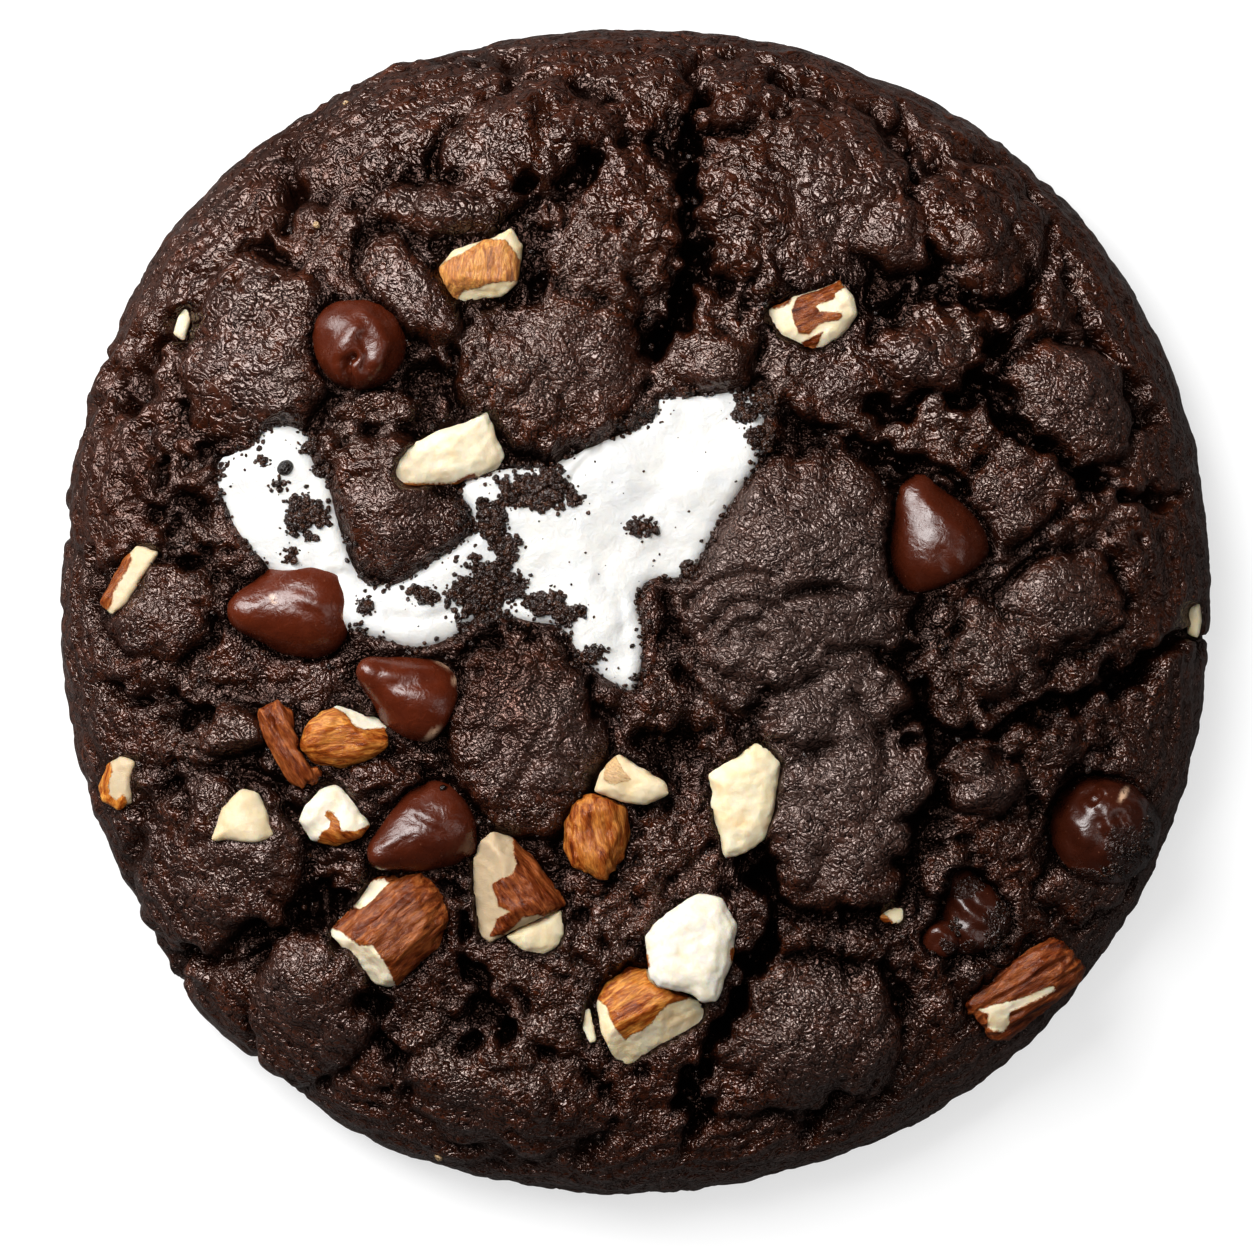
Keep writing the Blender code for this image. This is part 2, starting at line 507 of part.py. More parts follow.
def turned_bmesh(profile, sides):
    """Turn a profile about the z axis."""
    line = bpy.data.meshes.new("profile")
    edges = [(index, index + 1) for index in range(len(profile) - 1)]
    line.from_pydata([(radius, 0.0, height) for radius, height in profile], edges, [])
    holder = bpy.data.objects.new("profile", line)
    cookie.objects.link(holder)
    screw = holder.modifiers.new("turn", "SCREW")
    screw.steps = sides
    screw.render_steps = sides
    screw.use_merge_vertices = True
    screw.merge_threshold = 0.0001
    finished = holder.evaluated_get(bpy.context.evaluated_depsgraph_get())
    bm = bmesh.new()
    bm.from_mesh(finished.to_mesh())
    bpy.data.objects.remove(holder, do_unlink=True)
    bmesh.ops.recalc_face_normals(bm, faces=bm.faces)
    return bm


def middle_of(bm):
    """Middle of a shape's outline as seen from above."""
    xs = [vertex.co.x for vertex in bm.verts]
    ys = [vertex.co.y for vertex in bm.verts]
    return (min(xs) + max(xs)) / 2, (min(ys) + max(ys)) / 2


def chip_bmesh(x, y, azimuth, rise, size, proud, slump):
    """A chip lying with its point towards the azimuth, its highest place at a set height."""
    bm = turned_bmesh(chip_profile(size, slump), CHIP_SIDES)
    for vertex in bm.verts:
        up = vertex.co.z / (CHIP_HEIGHT * size)
        vertex.co.x += CHIP_BEND * size * up ** 3
    azimuth, rise = math.radians(azimuth), math.radians(rise)
    point = Vector((math.cos(azimuth) * math.cos(rise), math.sin(azimuth) * math.cos(rise),
                    math.sin(rise)))
    turn = Vector((0, 0, 1)).rotation_difference(point).to_matrix()
    bmesh.ops.rotate(bm, cent=(0, 0, 0), matrix=turn, verts=bm.verts)
    middle_x, middle_y = middle_of(bm)
    highest = max(vertex.co.z for vertex in bm.verts)
    side = CHIP_RADIUS * size
    ring = ((x + side, y), (x, y + side), (x - side, y), (x, y - side))
    height = dough_around(ring) + proud - highest
    bmesh.ops.translate(bm, vec=(x - middle_x, y - middle_y, height), verts=bm.verts)
    return bm


# ---------------------------------------------------------------- nuts

def outline_measures(outline):
    """Middle and mean half width of a small outline."""
    count = len(outline)
    area = 0.0
    around = 0.0
    for index in range(count):
        (ax, ay), (bx, by) = outline[index], outline[(index + 1) % count]
        area += (ax * by - bx * ay) / 2
        around += math.hypot(bx - ax, by - ay)
    middle = (sum(p[0] for p in outline) / count, sum(p[1] for p in outline) / count)
    return middle, 2 * abs(area) / around


def nut_bmesh(outline, proud, deep, grain, crown, lean, cuts):
    """A chopped piece of nut: a solid outline with a rounded skin side and knife cuts."""
    (middle_x, middle_y), half_width = outline_measures(outline)
    grain = math.radians(grain)
    slope_to, slope = math.radians(lean[0]), math.tan(math.radians(lean[1]))

    def skin_height(x, y):
        across = ((y - middle_y) * math.cos(grain) - (x - middle_x) * math.sin(grain)) / half_width
        down = (x - middle_x) * math.cos(slope_to) + (y - middle_y) * math.sin(slope_to)
        return -crown * across ** 2 - slope * down

    bm, top = slab(outline, deep)
    lower = [vertex for vertex in bm.verts if vertex.co.z < -deep / 2]
    bmesh.ops.scale(bm, vec=(0.84, 0.84, 1.0), verts=lower,
                    space=Matrix.Translation((-middle_x, -middle_y, 0)))
    for shrink, rise in ((0.86, 0.15), (0.66, 0.09)):
        top = bmesh.ops.extrude_discrete_faces(bm, faces=[top])["faces"][0]
        bmesh.ops.scale(bm, vec=(shrink, shrink, 1.0), verts=top.verts,
                        space=Matrix.Translation((-middle_x, -middle_y, 0)))
        bmesh.ops.translate(bm, vec=(0, 0, rise * half_width), verts=top.verts)
    for vertex in bm.verts:
        if vertex.co.z > -deep / 2:
            vertex.co.z += skin_height(vertex.co.x, vertex.co.y)
    for x, y, direction, steepness in cuts:
        direction, steepness = math.radians(direction), math.radians(steepness)
        outward = Vector((math.cos(direction) * math.sin(steepness),
                          math.sin(direction) * math.sin(steepness), math.cos(steepness)))
        place = Vector((x, y, skin_height(x, y)))
        cut = bmesh.ops.bisect_plane(bm, geom=bm.verts[:] + bm.edges[:] + bm.faces[:],
                                     plane_co=place, plane_no=outward, clear_outer=True)
        edges = [item for item in cut["geom_cut"] if isinstance(item, bmesh.types.BMEdge)]
        bmesh.ops.edgeloop_fill(bm, edges=edges)
    highest = max(vertex.co.z for vertex in bm.verts)
    bmesh.ops.translate(bm, vec=(0, 0, dough_around(outline) + proud - highest), verts=bm.verts)
    bmesh.ops.recalc_face_normals(bm, faces=bm.faces)
    return bm


# ---------------------------------------------------------------- fitting the pieces

def room_above(thing, name):
    """A cutter: the piece a gap larger all round, carried up past the dough's surface."""
    bm = bmesh.new()
    bm.from_mesh(thing.data)
    bmesh.ops.recalc_face_normals(bm, faces=bm.faces)
    bm.normal_update()
    places = [vertex.co + vertex.normal * vertex.calc_shell_factor() * GAP * MM for vertex in bm.verts]
    bm.clear()
    for place in places:
        bm.verts.new(place)
        bm.verts.new(place + Vector((0, 0, CLEAR_ABOVE * MM)))
    bmesh.ops.convex_hull(bm, input=bm.verts)
    loose = [vertex for vertex in bm.verts if not vertex.link_faces]
    bmesh.ops.delete(bm, geom=loose, context="VERTS")
    bmesh.ops.recalc_face_normals(bm, faces=bm.faces)
    return add_cutter(name, bm)


def add_cutter(name, bm):
    """A shape in metres that only cuts others."""
    mesh = bpy.data.meshes.new(name)
    bm.to_mesh(mesh)
    bm.free()
    cutter = bpy.data.objects.new(name, mesh)
    cutter.hide_render = True
    cutter.display_type = "WIRE"
    cutters.objects.link(cutter)
    return cutter


def pool_room():
    """The pool's cutter: its outline a gap larger, and open above."""
    bm, _ = slab(grown(smooth_shore(SHORE), GAP), POOL_DEPTH + CLEAR_ABOVE + GAP)
    bmesh.ops.triangulate(bm, faces=bm.faces)
    follow_dome(bm, POOL_PROUD + CLEAR_ABOVE - POOL_LIP_RISE)
    bmesh.ops.scale(bm, vec=(MM, MM, MM), verts=bm.verts)
    return add_cutter("room_for_marshmallow", bm)


def cut_away(thing, tools):
    """Cut the tools out of a piece for good, and drop any scrap that this frees."""
    for tool in tools:
        modifier = thing.modifiers.new(tool.name, "BOOLEAN")
        modifier.operation = "DIFFERENCE"
        modifier.object = tool
    finished = thing.evaluated_get(bpy.context.evaluated_depsgraph_get())
    mesh = bpy.data.meshes.new_from_object(finished)
    thing.modifiers.clear()
    bm = bmesh.new()
    bm.from_mesh(mesh)
    bmesh.ops.remove_doubles(bm, verts=bm.verts, dist=0.00002)
    bmesh.ops.triangulate(bm, faces=bm.faces)
    bodies = connected_bodies(bm)
    for scrap in sorted(bodies, key=len)[:-1]:
        bmesh.ops.delete(bm, geom=scrap, context="VERTS")
    bm.to_mesh(thing.data)
    bm.free()


def connected_bodies(bm):
    """The separate bodies of a mesh, each as a list of its vertices."""
    waiting = set(bm.verts)
    bodies = []
    while waiting:
        body = [waiting.pop()]
        for vertex in body:
            for edge in vertex.link_edges:
                other = edge.other_vert(vertex)
                if other in waiting:
                    waiting.remove(other)
                    body.append(other)
        bodies.append(body)
    return bodies


# ---------------------------------------------------------------- the cookie

clear_scene()
cookie = new_collection("rocky_road_cookie")
cutters = new_collection("cutters")

pieces = {"marshmallow": add_object("marshmallow", marshmallow_bmesh(), cookie, MARSHMALLOW_WHITE)}
for name, sizes in CHIPS.items():
    pieces[name] = add_object(name, chip_bmesh(*sizes), cookie, CHOCOLATE_BROWN)
for name, sizes in NUTS.items():
    finish = PECAN_BROWN if name.startswith("pecan") else ALMOND_CREAM
    pieces[name] = add_object(name, nut_bmesh(**sizes), cookie, finish)

rooms = {"marshmallow": pool_room()}
for name in list(CHIPS) + list(NUTS):
    rooms[name] = room_above(pieces[name], "room_for_" + name)

for lower, upper in LAID_ON:
    cut_away(pieces[lower], [rooms[upper]])
dough = add_object("dough", dough_bmesh(DOUGH_CELLS), cookie, DOUGH_BROWN)
cut_away(dough, rooms.values())
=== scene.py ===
"""Looks of the rocky road cookie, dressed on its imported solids.

Metres, +Z up, in the frame of the solids: from above, +X is to the right and +Y up the page.
Sizes in the sections below are in millimetres.
"""
import math
import random

import bmesh
import bpy
import numpy as np
from mathutils import Matrix, Vector, noise
from mathutils.bvhtree import BVHTree


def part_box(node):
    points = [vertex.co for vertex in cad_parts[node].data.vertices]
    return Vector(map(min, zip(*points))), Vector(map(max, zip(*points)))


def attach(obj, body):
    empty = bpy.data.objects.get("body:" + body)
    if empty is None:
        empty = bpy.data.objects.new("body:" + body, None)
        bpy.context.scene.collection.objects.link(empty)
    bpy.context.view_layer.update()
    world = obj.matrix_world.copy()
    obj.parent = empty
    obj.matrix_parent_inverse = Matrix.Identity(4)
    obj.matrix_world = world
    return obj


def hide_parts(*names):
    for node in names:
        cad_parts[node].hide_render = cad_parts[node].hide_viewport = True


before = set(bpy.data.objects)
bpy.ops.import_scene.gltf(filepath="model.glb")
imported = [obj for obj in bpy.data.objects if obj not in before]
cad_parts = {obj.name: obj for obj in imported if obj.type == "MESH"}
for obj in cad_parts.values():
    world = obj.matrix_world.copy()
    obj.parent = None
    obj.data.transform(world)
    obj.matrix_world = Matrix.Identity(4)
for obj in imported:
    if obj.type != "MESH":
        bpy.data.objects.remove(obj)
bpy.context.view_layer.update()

MM = 0.001                      # one millimetre in metres


# ---------------------------------------------------------------- melted marshmallow
# A handful of marshmallows that melted into one white pool in the middle of the top, with
# two arms towards the left. It sank between the lumps of dough, so its shore is the line
# where the dough rises out of it, and its skin stayed soft and uneven.
WIDTH_X = 115.5
WIDTH_Y = 117.0
MEAN_RADIUS = (WIDTH_X + WIDTH_Y) / 4
THICKNESS = 18.4                # of the smooth cookie, before lumps
WAIST_HEIGHT = 5.0
SHOULDER = 3.9
ROUNDING = 2.2
SQUARED = 0.65
FULLER = 0.45
FULLER_TOWARDS = 135
SHORE = (
    (-40.8, 15.2), (-38.4, 16.5), (-36.9, 18.3), (-34.6, 18.9), (-32.6, 17.6), (-32.0, 14.9),
    (-30.6, 13.0), (-29.6, 9.2), (-28.4, 5.4), (-26.6, 3.0), (-24.0, 2.8), (-21.0, 4.6),
    (-17.6, 6.9), (-16.2, 9.4), (-17.8, 11.8), (-16.2, 13.6), (-12.8, 14.4), (-8.2, 14.6),
    (-4.2, 16.8), (-1.0, 18.0), (2.0, 19.8), (2.4, 21.4), (6.2, 21.7), (10.8, 22.3),
    (12.9, 20.6), (12.4, 15.6), (11.0, 13.0), (8.4, 8.6), (6.8, 5.6), (5.4, 3.2),
    (1.6, 2.9), (0.4, 1.0), (0.8, -2.4), (0.4, -6.4), (-0.6, -8.0), (-4.8, -5.2),
    (-7.4, -1.6), (-10.6, -1.2), (-15.0, -0.2), (-18.0, -2.6), (-22.0, -3.6), (-26.0, -2.4),
    (-29.4, -1.2), (-33.0, 1.6), (-36.0, 4.0), (-38.6, 6.2), (-40.4, 9.0), (-41.6, 12.4),
)
POOL_PROUD = 0.7                # flat top of the pool above the smooth dome
POOL_LIP = 1.5                  # width of the rounded shore
POOL_LIP_DROP = 1.0
POOL_LIP_ROUND = 0.96           # just under 1, so that the lip never stands upright
POOL_DEPTH = 4.6
POOL_CELL = 0.33
POOL_MARGIN = 1.2               # how far the pool runs on under the dough
POOL_DIVE = 1.4                 # how steeply it falls there
POOL_SWELLS = ((9.0, 0.60), (4.2, 0.32), (1.8, 0.12))
POOL_FOLDS = (                  # depth, half width, then the points that the fold runs through
    (0.55, 0.45, (-6.9, 12.2), (-6.3, 13.4), (-5.3, 14.7), (-3.6, 16.4)),
    (0.50, 0.50, (-18.4, 12.4), (-17.2, 11.0), (-16.0, 9.0), (-16.6, 7.4)),
    (0.35, 0.45, (-31.5, 3.0), (-29.0, 3.9), (-26.6, 2.6)),
    (0.25, 0.60, (-3.6, 3.2), (-1.6, 1.4), (-1.2, -2.0)),
    (0.25, 0.50, (-24.5, -0.4), (-21.4, -0.9), (-18.0, 0.2)),
)


def rim_radius(angle):
    """The cookie's outline: nearly round, a little squared, fullest at the upper left."""
    squared = SQUARED * (0.5 - np.cos(4 * angle))
    turned_by = angle - math.radians(FULLER_TOWARDS)
    return MEAN_RADIUS + squared + FULLER * (np.cos(turned_by) + np.cos(3 * turned_by))


def dome(x, y):
    """Height of the smooth cookie above each place on the table."""
    share = np.minimum(np.hypot(x, y) / rim_radius(np.arctan2(y, x)), 1.0)
    return WAIST_HEIGHT + (THICKNESS - WAIST_HEIGHT) * (1 - share ** SHOULDER) ** (1 / ROUNDING)


def smooth_loop(points, per_span):
    """More points on a smooth closed curve through the given ones."""
    curve = []
    count = len(points)
    for index in range(count):
        before, here, after, beyond = (Vector(points[(index + k) % count]) for k in (-1, 0, 1, 2))
        for step in range(per_span):
            t = step / per_span
            bend = (2 * before - 5 * here + 4 * after - beyond) * t * t
            twist = (3 * here - before - 3 * after + beyond) * t ** 3
            curve.append((2 * here + (after - before) * t + bend + twist) / 2)
    return curve


def from_line(x, y, points):
    """Distance of each place from a line through the points."""
    nearest = np.full(np.shape(x), 1e9)
    for (ax, ay), (bx, by) in zip(points[:-1], points[1:]):
        length = (bx - ax) ** 2 + (by - ay) ** 2
        share = np.clip(((x - ax) * (bx - ax) + (y - ay) * (by - ay)) / length, 0.0, 1.0)
        gap = np.hypot(x - ax - share * (bx - ax), y - ay - share * (by - ay))
        nearest = np.minimum(nearest, gap)
    return nearest


def inside_reach(x, y, outline):
    """Distance inside an outline, negative outside it."""
    closed = [tuple(point) for point in outline] + [tuple(outline[0])]
    within = np.zeros(np.shape(x), dtype=bool)
    for (ax, ay), (bx, by) in zip(closed[:-1], closed[1:]):
        if ay != by:
            crosses = ((ay > y) != (by > y)) & (x < (bx - ax) * (y - ay) / (by - ay) + ax)
            within ^= crosses
    return np.where(within, 1.0, -1.0) * from_line(x, y, closed)


def soft_noise(spots, width, seed):
    """Smooth noise from -1 to 1 at each spot; its swells are about this wide."""
    shift = Vector((7.0, 3.0, 1.0)) * seed
    return np.array([noise.noise(spot / width + shift) for spot in spots])


noise.seed_set(5)               # noise_vector takes its offsets from the clock unless it is seeded


def stirred(spots, width, reach, seed):
    """The spots, each carried a little way by a soft swirl."""
    shift = Vector((7.0, 3.0, 1.0)) * seed
    return [spot + noise.noise_vector(spot / width + shift) * reach for spot in spots]


def spots_of(bm):
    """Where the vertices of a bmesh lie."""
    return [vertex.co.copy() for vertex in bm.verts]


def step_between(low, high, value):
    """0 below low, 1 above high, and a smooth step in between."""
    share = np.clip((value - low) / (high - low), 0.0, 1.0)
    return share * share * (3 - 2 * share)


def add_piece(name, bm, material, attributes=()):
    """Turn a bmesh in millimetres into a finished object in metres."""
    bmesh.ops.scale(bm, vec=(MM, MM, MM), verts=bm.verts)
    mesh = bpy.data.meshes.new(name)
    bm.to_mesh(mesh)
    bm.free()
    mesh.shade_smooth()
    for label, values in dict(attributes).items():
        kind = "FLOAT" if np.ndim(values) == 1 else "FLOAT_VECTOR"
        layer = mesh.attributes.new(label, kind, "POINT")
        layer.data.foreach_set("value" if kind == "FLOAT" else "vector", np.ravel(values))
    piece = bpy.data.objects.new(name, mesh)
    piece.data.materials.append(material)
    bpy.context.scene.collection.objects.link(piece)
    return piece


def add_node(tree, kind, inputs=(), **settings):
    """A shader node with its settings, values and links."""
    made = tree.nodes.new("ShaderNode" + kind)
    for key, value in settings.items():
        setattr(made, key, value)
    for socket, value in dict(inputs).items():
        if isinstance(value, bpy.types.NodeSocket):
            tree.links.new(value, made.inputs[socket])
        else:
            made.inputs[socket].default_value = value
    return made


def new_material(name, **plain):
    """A Principled material, its tree, its shader, and coordinates in millimetres."""
    material = bpy.data.materials.new(name)
    material.use_nodes = True
    tree = material.node_tree
    shader = tree.nodes["Principled BSDF"]
    for socket, value in plain.items():
        shader.inputs[socket.replace("_", " ")].default_value = value
    place = add_node(tree, "TexCoord").outputs["Object"]
    place = add_node(tree, "Mapping", {"Vector": place, "Scale": (1000, 1000, 1000)}).outputs[0]
    return material, tree, shader, place


def ramp(tree, value, *stops):
    """Colours or greys along a value, given as (position, colour) stops."""
    made = add_node(tree, "ValToRGB", {"Fac": value})
    while len(made.color_ramp.elements) < len(stops):
        made.color_ramp.elements.new(1.0)
    for element, (position, colour) in zip(made.color_ramp.elements, stops):
        element.position = position
        grey = isinstance(colour, (int, float))
        element.color = (colour, colour, colour, 1.0) if grey else (*colour, 1.0)
    return made.outputs["Color"]


def blend_colours(tree, share, first, second, way="MIX"):
    """The first colour where share is 0, the second where it is 1."""
    mixed = add_node(tree, "Mix", data_type="RGBA", blend_type=way)
    for socket, value in ((0, share), (6, first), (7, second)):
        if isinstance(value, bpy.types.NodeSocket):
            tree.links.new(value, mixed.inputs[socket])
        else:
            mixed.inputs[socket].default_value = value if socket == 0 else (*value, 1.0)
    return mixed.outputs[2]


def maths(tree, operation, first, second=0.0, clamp=False):
    """The result of a Math node."""
    return add_node(tree, "Math", {0: first, 1: second}, operation=operation,
                    use_clamp=clamp).outputs[0]


def noise_at(tree, place, scale, detail=2.0, roughness=0.5, distortion=0.0):
    """Cloudy noise from 0 to 1; scale is in swells for each millimetre."""
    return add_node(tree, "TexNoise", {"Vector": place, "Scale": scale, "Detail": detail,
                                       "Roughness": roughness,
                                       "Distortion": distortion}).outputs["Fac"]


def attribute(tree, name):
    """A mask that is stored on the piece's vertices."""
    return add_node(tree, "Attribute", attribute_name=name).outputs["Fac"]


def bump(tree, height, strength, distance, normal=None):
    """A bump node; distance is in millimetres."""
    inputs = {"Height": height, "Strength": strength, "Distance": distance * MM}
    if normal is not None:
        inputs["Normal"] = normal
    return add_node(tree, "Bump", inputs).outputs["Normal"]


def crinkle_group():
    """A node group for skins: rounded swellings of two sizes that meet in fine creases."""
    group = bpy.data.node_groups.new("crinkles", "ShaderNodeTree")
    group.interface.new_socket("Place", in_out="INPUT", socket_type="NodeSocketVector")
    for label in ("Scale", "Swirl", "Finer"):
        group.interface.new_socket(label, in_out="INPUT", socket_type="NodeSocketFloat")
    for label in ("Height", "Crease"):
        group.interface.new_socket(label, in_out="OUTPUT", socket_type="NodeSocketFloat")
    given = group.nodes.new("NodeGroupInput").outputs
    result = group.nodes.new("NodeGroupOutput").inputs

    def swellings(scale):
        cloud = add_node(group, "TexNoise", {"Vector": given["Place"], "Scale": scale, "Detail": 0.0,
                                             "Distortion": given["Swirl"]}).outputs["Fac"]
        from_middle = maths(group, "ABSOLUTE", maths(group, "SUBTRACT", cloud, 0.5))
        return maths(group, "POWER", maths(group, "MULTIPLY", from_middle, 4.0), 0.8)

    large = swellings(given["Scale"])
    small = swellings(maths(group, "MULTIPLY", given["Scale"], 2.1))
    height = maths(group, "ADD", large, maths(group, "MULTIPLY", small, given["Finer"]))
    group.links.new(height, result["Height"])
    group.links.new(maths(group, "SUBTRACT", 1.0, maths(group, "MULTIPLY", large, 3.0), clamp=True),
                    result["Crease"])
    return group


crinkle_nodes = crinkle_group()


def crinkles(tree, place, scale, swirl, finer):
    """Height and creases of a crinkled skin, from the shared group."""
    made = add_node(tree, "Group", node_tree=crinkle_nodes)
    tree.links.new(place, made.inputs["Place"])
    for label, value in (("Scale", scale), ("Swirl", swirl), ("Finer", finer)):
        made.inputs[label].default_value = value
    return made.outputs["Height"], made.outputs["Crease"]


pool_shore = smooth_loop(SHORE, 4)
bm = bmesh.new()
shore_low = np.min(pool_shore, axis=0) - 2 * POOL_MARGIN
shore_high = np.max(pool_shore, axis=0) + 2 * POOL_MARGIN
pool_size = shore_high - shore_low
bmesh.ops.create_grid(bm, x_segments=int(pool_size[0] / POOL_CELL),
                      y_segments=int(pool_size[1] / POOL_CELL), size=0.5)
bmesh.ops.scale(bm, vec=(*pool_size, 1.0), verts=bm.verts)
bmesh.ops.translate(bm, vec=(*(shore_low + shore_high) / 2, 0.0), verts=bm.verts)
spots = np.array(spots_of(bm))
reach = inside_reach(spots[:, 0], spots[:, 1], pool_shore)
dry = [vertex for vertex, inside in zip(bm.verts, reach) if inside < -POOL_MARGIN]
bmesh.ops.delete(bm, geom=dry, context="VERTS")


def pool_level(x, y):
    """Height of the pool's flat top, with its soft swells."""
    level = dome(x, y) + POOL_PROUD
    places = [Vector((px, py, 0.0)) for px, py in zip(x, y)]
    for seed, (width, height) in enumerate(POOL_SWELLS):
        level = level + height * soft_noise(places, width, 40 + seed)
    for depth, half_width, *points in POOL_FOLDS:
        level = level - depth * np.exp(-(from_line(x, y, points) / half_width) ** 1.5)
    return level


spots = np.array(spots_of(bm))
reach = inside_reach(spots[:, 0], spots[:, 1], pool_shore)
lip = 1 - np.clip(reach / POOL_LIP, 0.0, 1.0)
drop = POOL_LIP_DROP * (1 - np.sqrt(1 - lip ** 2 * POOL_LIP_ROUND)) + POOL_DIVE * np.maximum(-reach, 0.0)
level = pool_level(spots[:, 0], spots[:, 1]) - drop
for vertex, z in zip(bm.verts, level):
    vertex.co.z = z
shore_edges = [edge for edge in bm.edges if edge.is_boundary]
made = bmesh.ops.extrude_edge_only(bm, edges=shore_edges)["geom"]
lower = [item for item in made if isinstance(item, bmesh.types.BMVert)]
for vertex in lower:
    vertex.co.z -= POOL_DEPTH - POOL_LIP_DROP - POOL_DIVE * POOL_MARGIN
bmesh.ops.edgeloop_fill(bm, edges=[edge for edge in bm.edges if edge.is_boundary])
bmesh.ops.recalc_face_normals(bm, faces=bm.faces)

material, tree, shader, place = new_material(
    "marshmallow_skin", Roughness=0.42, Subsurface_Weight=0.35,
    Subsurface_Radius=(0.9, 0.75, 0.6), Subsurface_Scale=0.0016, Specular_IOR_Level=0.4)
cloudy = noise_at(tree, place, 0.22, 3.0, 0.5, 0.6)
colour = ramp(tree, cloudy, (0.35, (0.755, 0.75, 0.735)), (0.6, (0.82, 0.805, 0.77)))
tree.links.new(colour, shader.inputs["Base Color"])
height = maths(tree, "ADD", maths(tree, "MULTIPLY", noise_at(tree, place, 0.7, 3.0, 0.55, 0.4), 1.0),
               maths(tree, "MULTIPLY", noise_at(tree, place, 4.0, 2.0, 0.6), 0.12))
tree.links.new(bump(tree, height, 0.35, 0.5), shader.inputs["Normal"])
marshmallow = add_piece("melted_marshmallow", bm, material)
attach(marshmallow, "root")
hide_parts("marshmallow")


# ---------------------------------------------------------------- chocolate chips
# Eight baking chips of dark milk chocolate: turned drops with a flat base and a point, which
# softened in the oven but kept their shape. Their satin skin has slight ripples, a few pale
# scuffs and flecks of bloom.
CHIP_RADIUS = 4.65
CHIP_HEIGHT = 10.8
CHIP_BEND = 0.9
CHIP_SIDES = 72
CHIP_OUTLINE = (                # height and radius, as shares of the whole, from base to point
    (-0.060, 0.0), (-0.055, 0.30), (-0.038, 0.56), (-0.005, 0.76), (0.040, 0.89), (0.11, 0.97),
    (0.20, 1.0), (0.31, 0.975), (0.42, 0.90), (0.53, 0.785), (0.64, 0.65), (0.74, 0.52),
    (0.82, 0.43), (0.885, 0.36), (0.94, 0.275), (0.98, 0.16), (1.0, 0.0),
)
CHIPS = {                       # x, y, azimuth and rise of the point, size, slump, darkness
    "chip_1": (-27.7, 26.6, 256, 54, 1.02, 1.0, 0.25),
    "chip_2": (-34.5, 0.6, 184, 19, 1.20, 0.25, 0.12),
    "chip_3": (-22.7, -8.8, 155, 20, 0.95, 0.0, 0.10),
    "chip_4": (-21.3, -21.3, 205, 20, 1.02, 0.0, 0.35),
    "chip_5": (30.3, 7.7, 117, 8, 1.16, 0.4, 0.5),
    "chip_6": (46.7, -21.6, 60, 62, 1.18, 1.0, 0.72),
    "chip_7": (34.0, -29.9, 112, 16, 0.86, 0.4, 0.80),
    "chip_8": (30.4, -32.6, 100, 60, 0.42, 1.0, 0.6),
}
CHIP_FOLDS = {                  # rise (or sink), half width, then points it runs through
    "chip_1": ((-1.5, 0.38, (-28.3, 22.3), (-28.9, 24.0), (-28.8, 24.9), (-28.1, 25.4)),
               (0.45, 0.75, (-27.1, 29.9), (-25.8, 28.7), (-25.1, 26.8), (-25.5, 25.0)),
               (0.50, 0.80, (-27.9, 28.2), (-29.5, 26.3), (-30.3, 25.0), (-29.5, 23.2)),
               (-0.35, 0.60, (-27.3, 27.4), (-26.7, 25.8), (-27.0, 24.4))),
    "chip_2": ((0.18, 0.35, (-33.8, 1.6), (-31.6, 0.6)), (-0.16, 0.3, (-34.0, 0.6), (-31.8, -0.4)),
               (0.15, 0.5, (-37.9, 0.6), (-35.8, 2.0))),
    "chip_3": ((0.22, 0.6, (-24.6, -6.2), (-20.0, -5.6)), (-0.2, 0.5, (-24.0, -7.4), (-20.0, -7.0))),
    "chip_4": ((0.20, 0.35, (-22.6, -19.6), (-19.8, -21.0)), (-0.18, 0.3, (-22.4, -20.6), (-19.6, -22.0)),
               (0.16, 0.4, (-25.2, -23.4), (-23.0, -22.2))),
    "chip_5": ((0.25, 0.7, (29.0, 11.0), (32.6, 8.0)), (-0.3, 0.6, (30.6, 6.0), (32.0, 3.6))),
    "chip_6": ((-0.55, 0.42, (45.2, -18.2), (45.9, -17.7), (46.4, -18.3), (45.8, -18.9), (45.2, -18.4)),
               (0.30, 0.30, (44.6, -17.6), (45.9, -17.0), (47.0, -18.2), (46.2, -19.5)),
               (-0.45, 0.7, (48.4, -20.6), (49.4, -22.0)), (0.35, 0.8, (43.8, -20.6), (45.0, -23.0)),
               (-0.35, 0.6, (46.4, -21.2), (47.0, -22.6))),
    "chip_7": ((0.4, 0.6, (32.0, -28.6), (34.6, -31.0)), (-0.3, 0.5, (33.8, -28.8), (36.0, -30.8)),
               (0.35, 0.5, (32.2, -31.6), (34.6, -33.4))),
}
CHIP_RIPPLES = ((4.5, 0.20), (1.9, 0.08))
MELTED = {                      # how uneven the heat left them
    "chip_6": 0.22, "chip_7": 0.22, "chip_8": 0.15,
}
MELTED_WIDTH = 1.3
DOUGHY = {                      # places smeared with dough: x, y, half length, half width, turn
    "chip_6": ((50.6, -25.0, 4.2, 2.4, -45), (44.6, -26.6, 2.6, 1.0, -10), (52.0, -20.4, 2.0, 0.9, 80)),
    "chip_7": ((37.4, -32.8, 3.4, 1.5, -55), (33.4, -27.4, 1.0, 1.8, -60), (33.0, -33.8, 1.4, 0.8, 30)),
    "chip_8": ((31.4, -33.6, 1.2, 0.6, -40),),
}
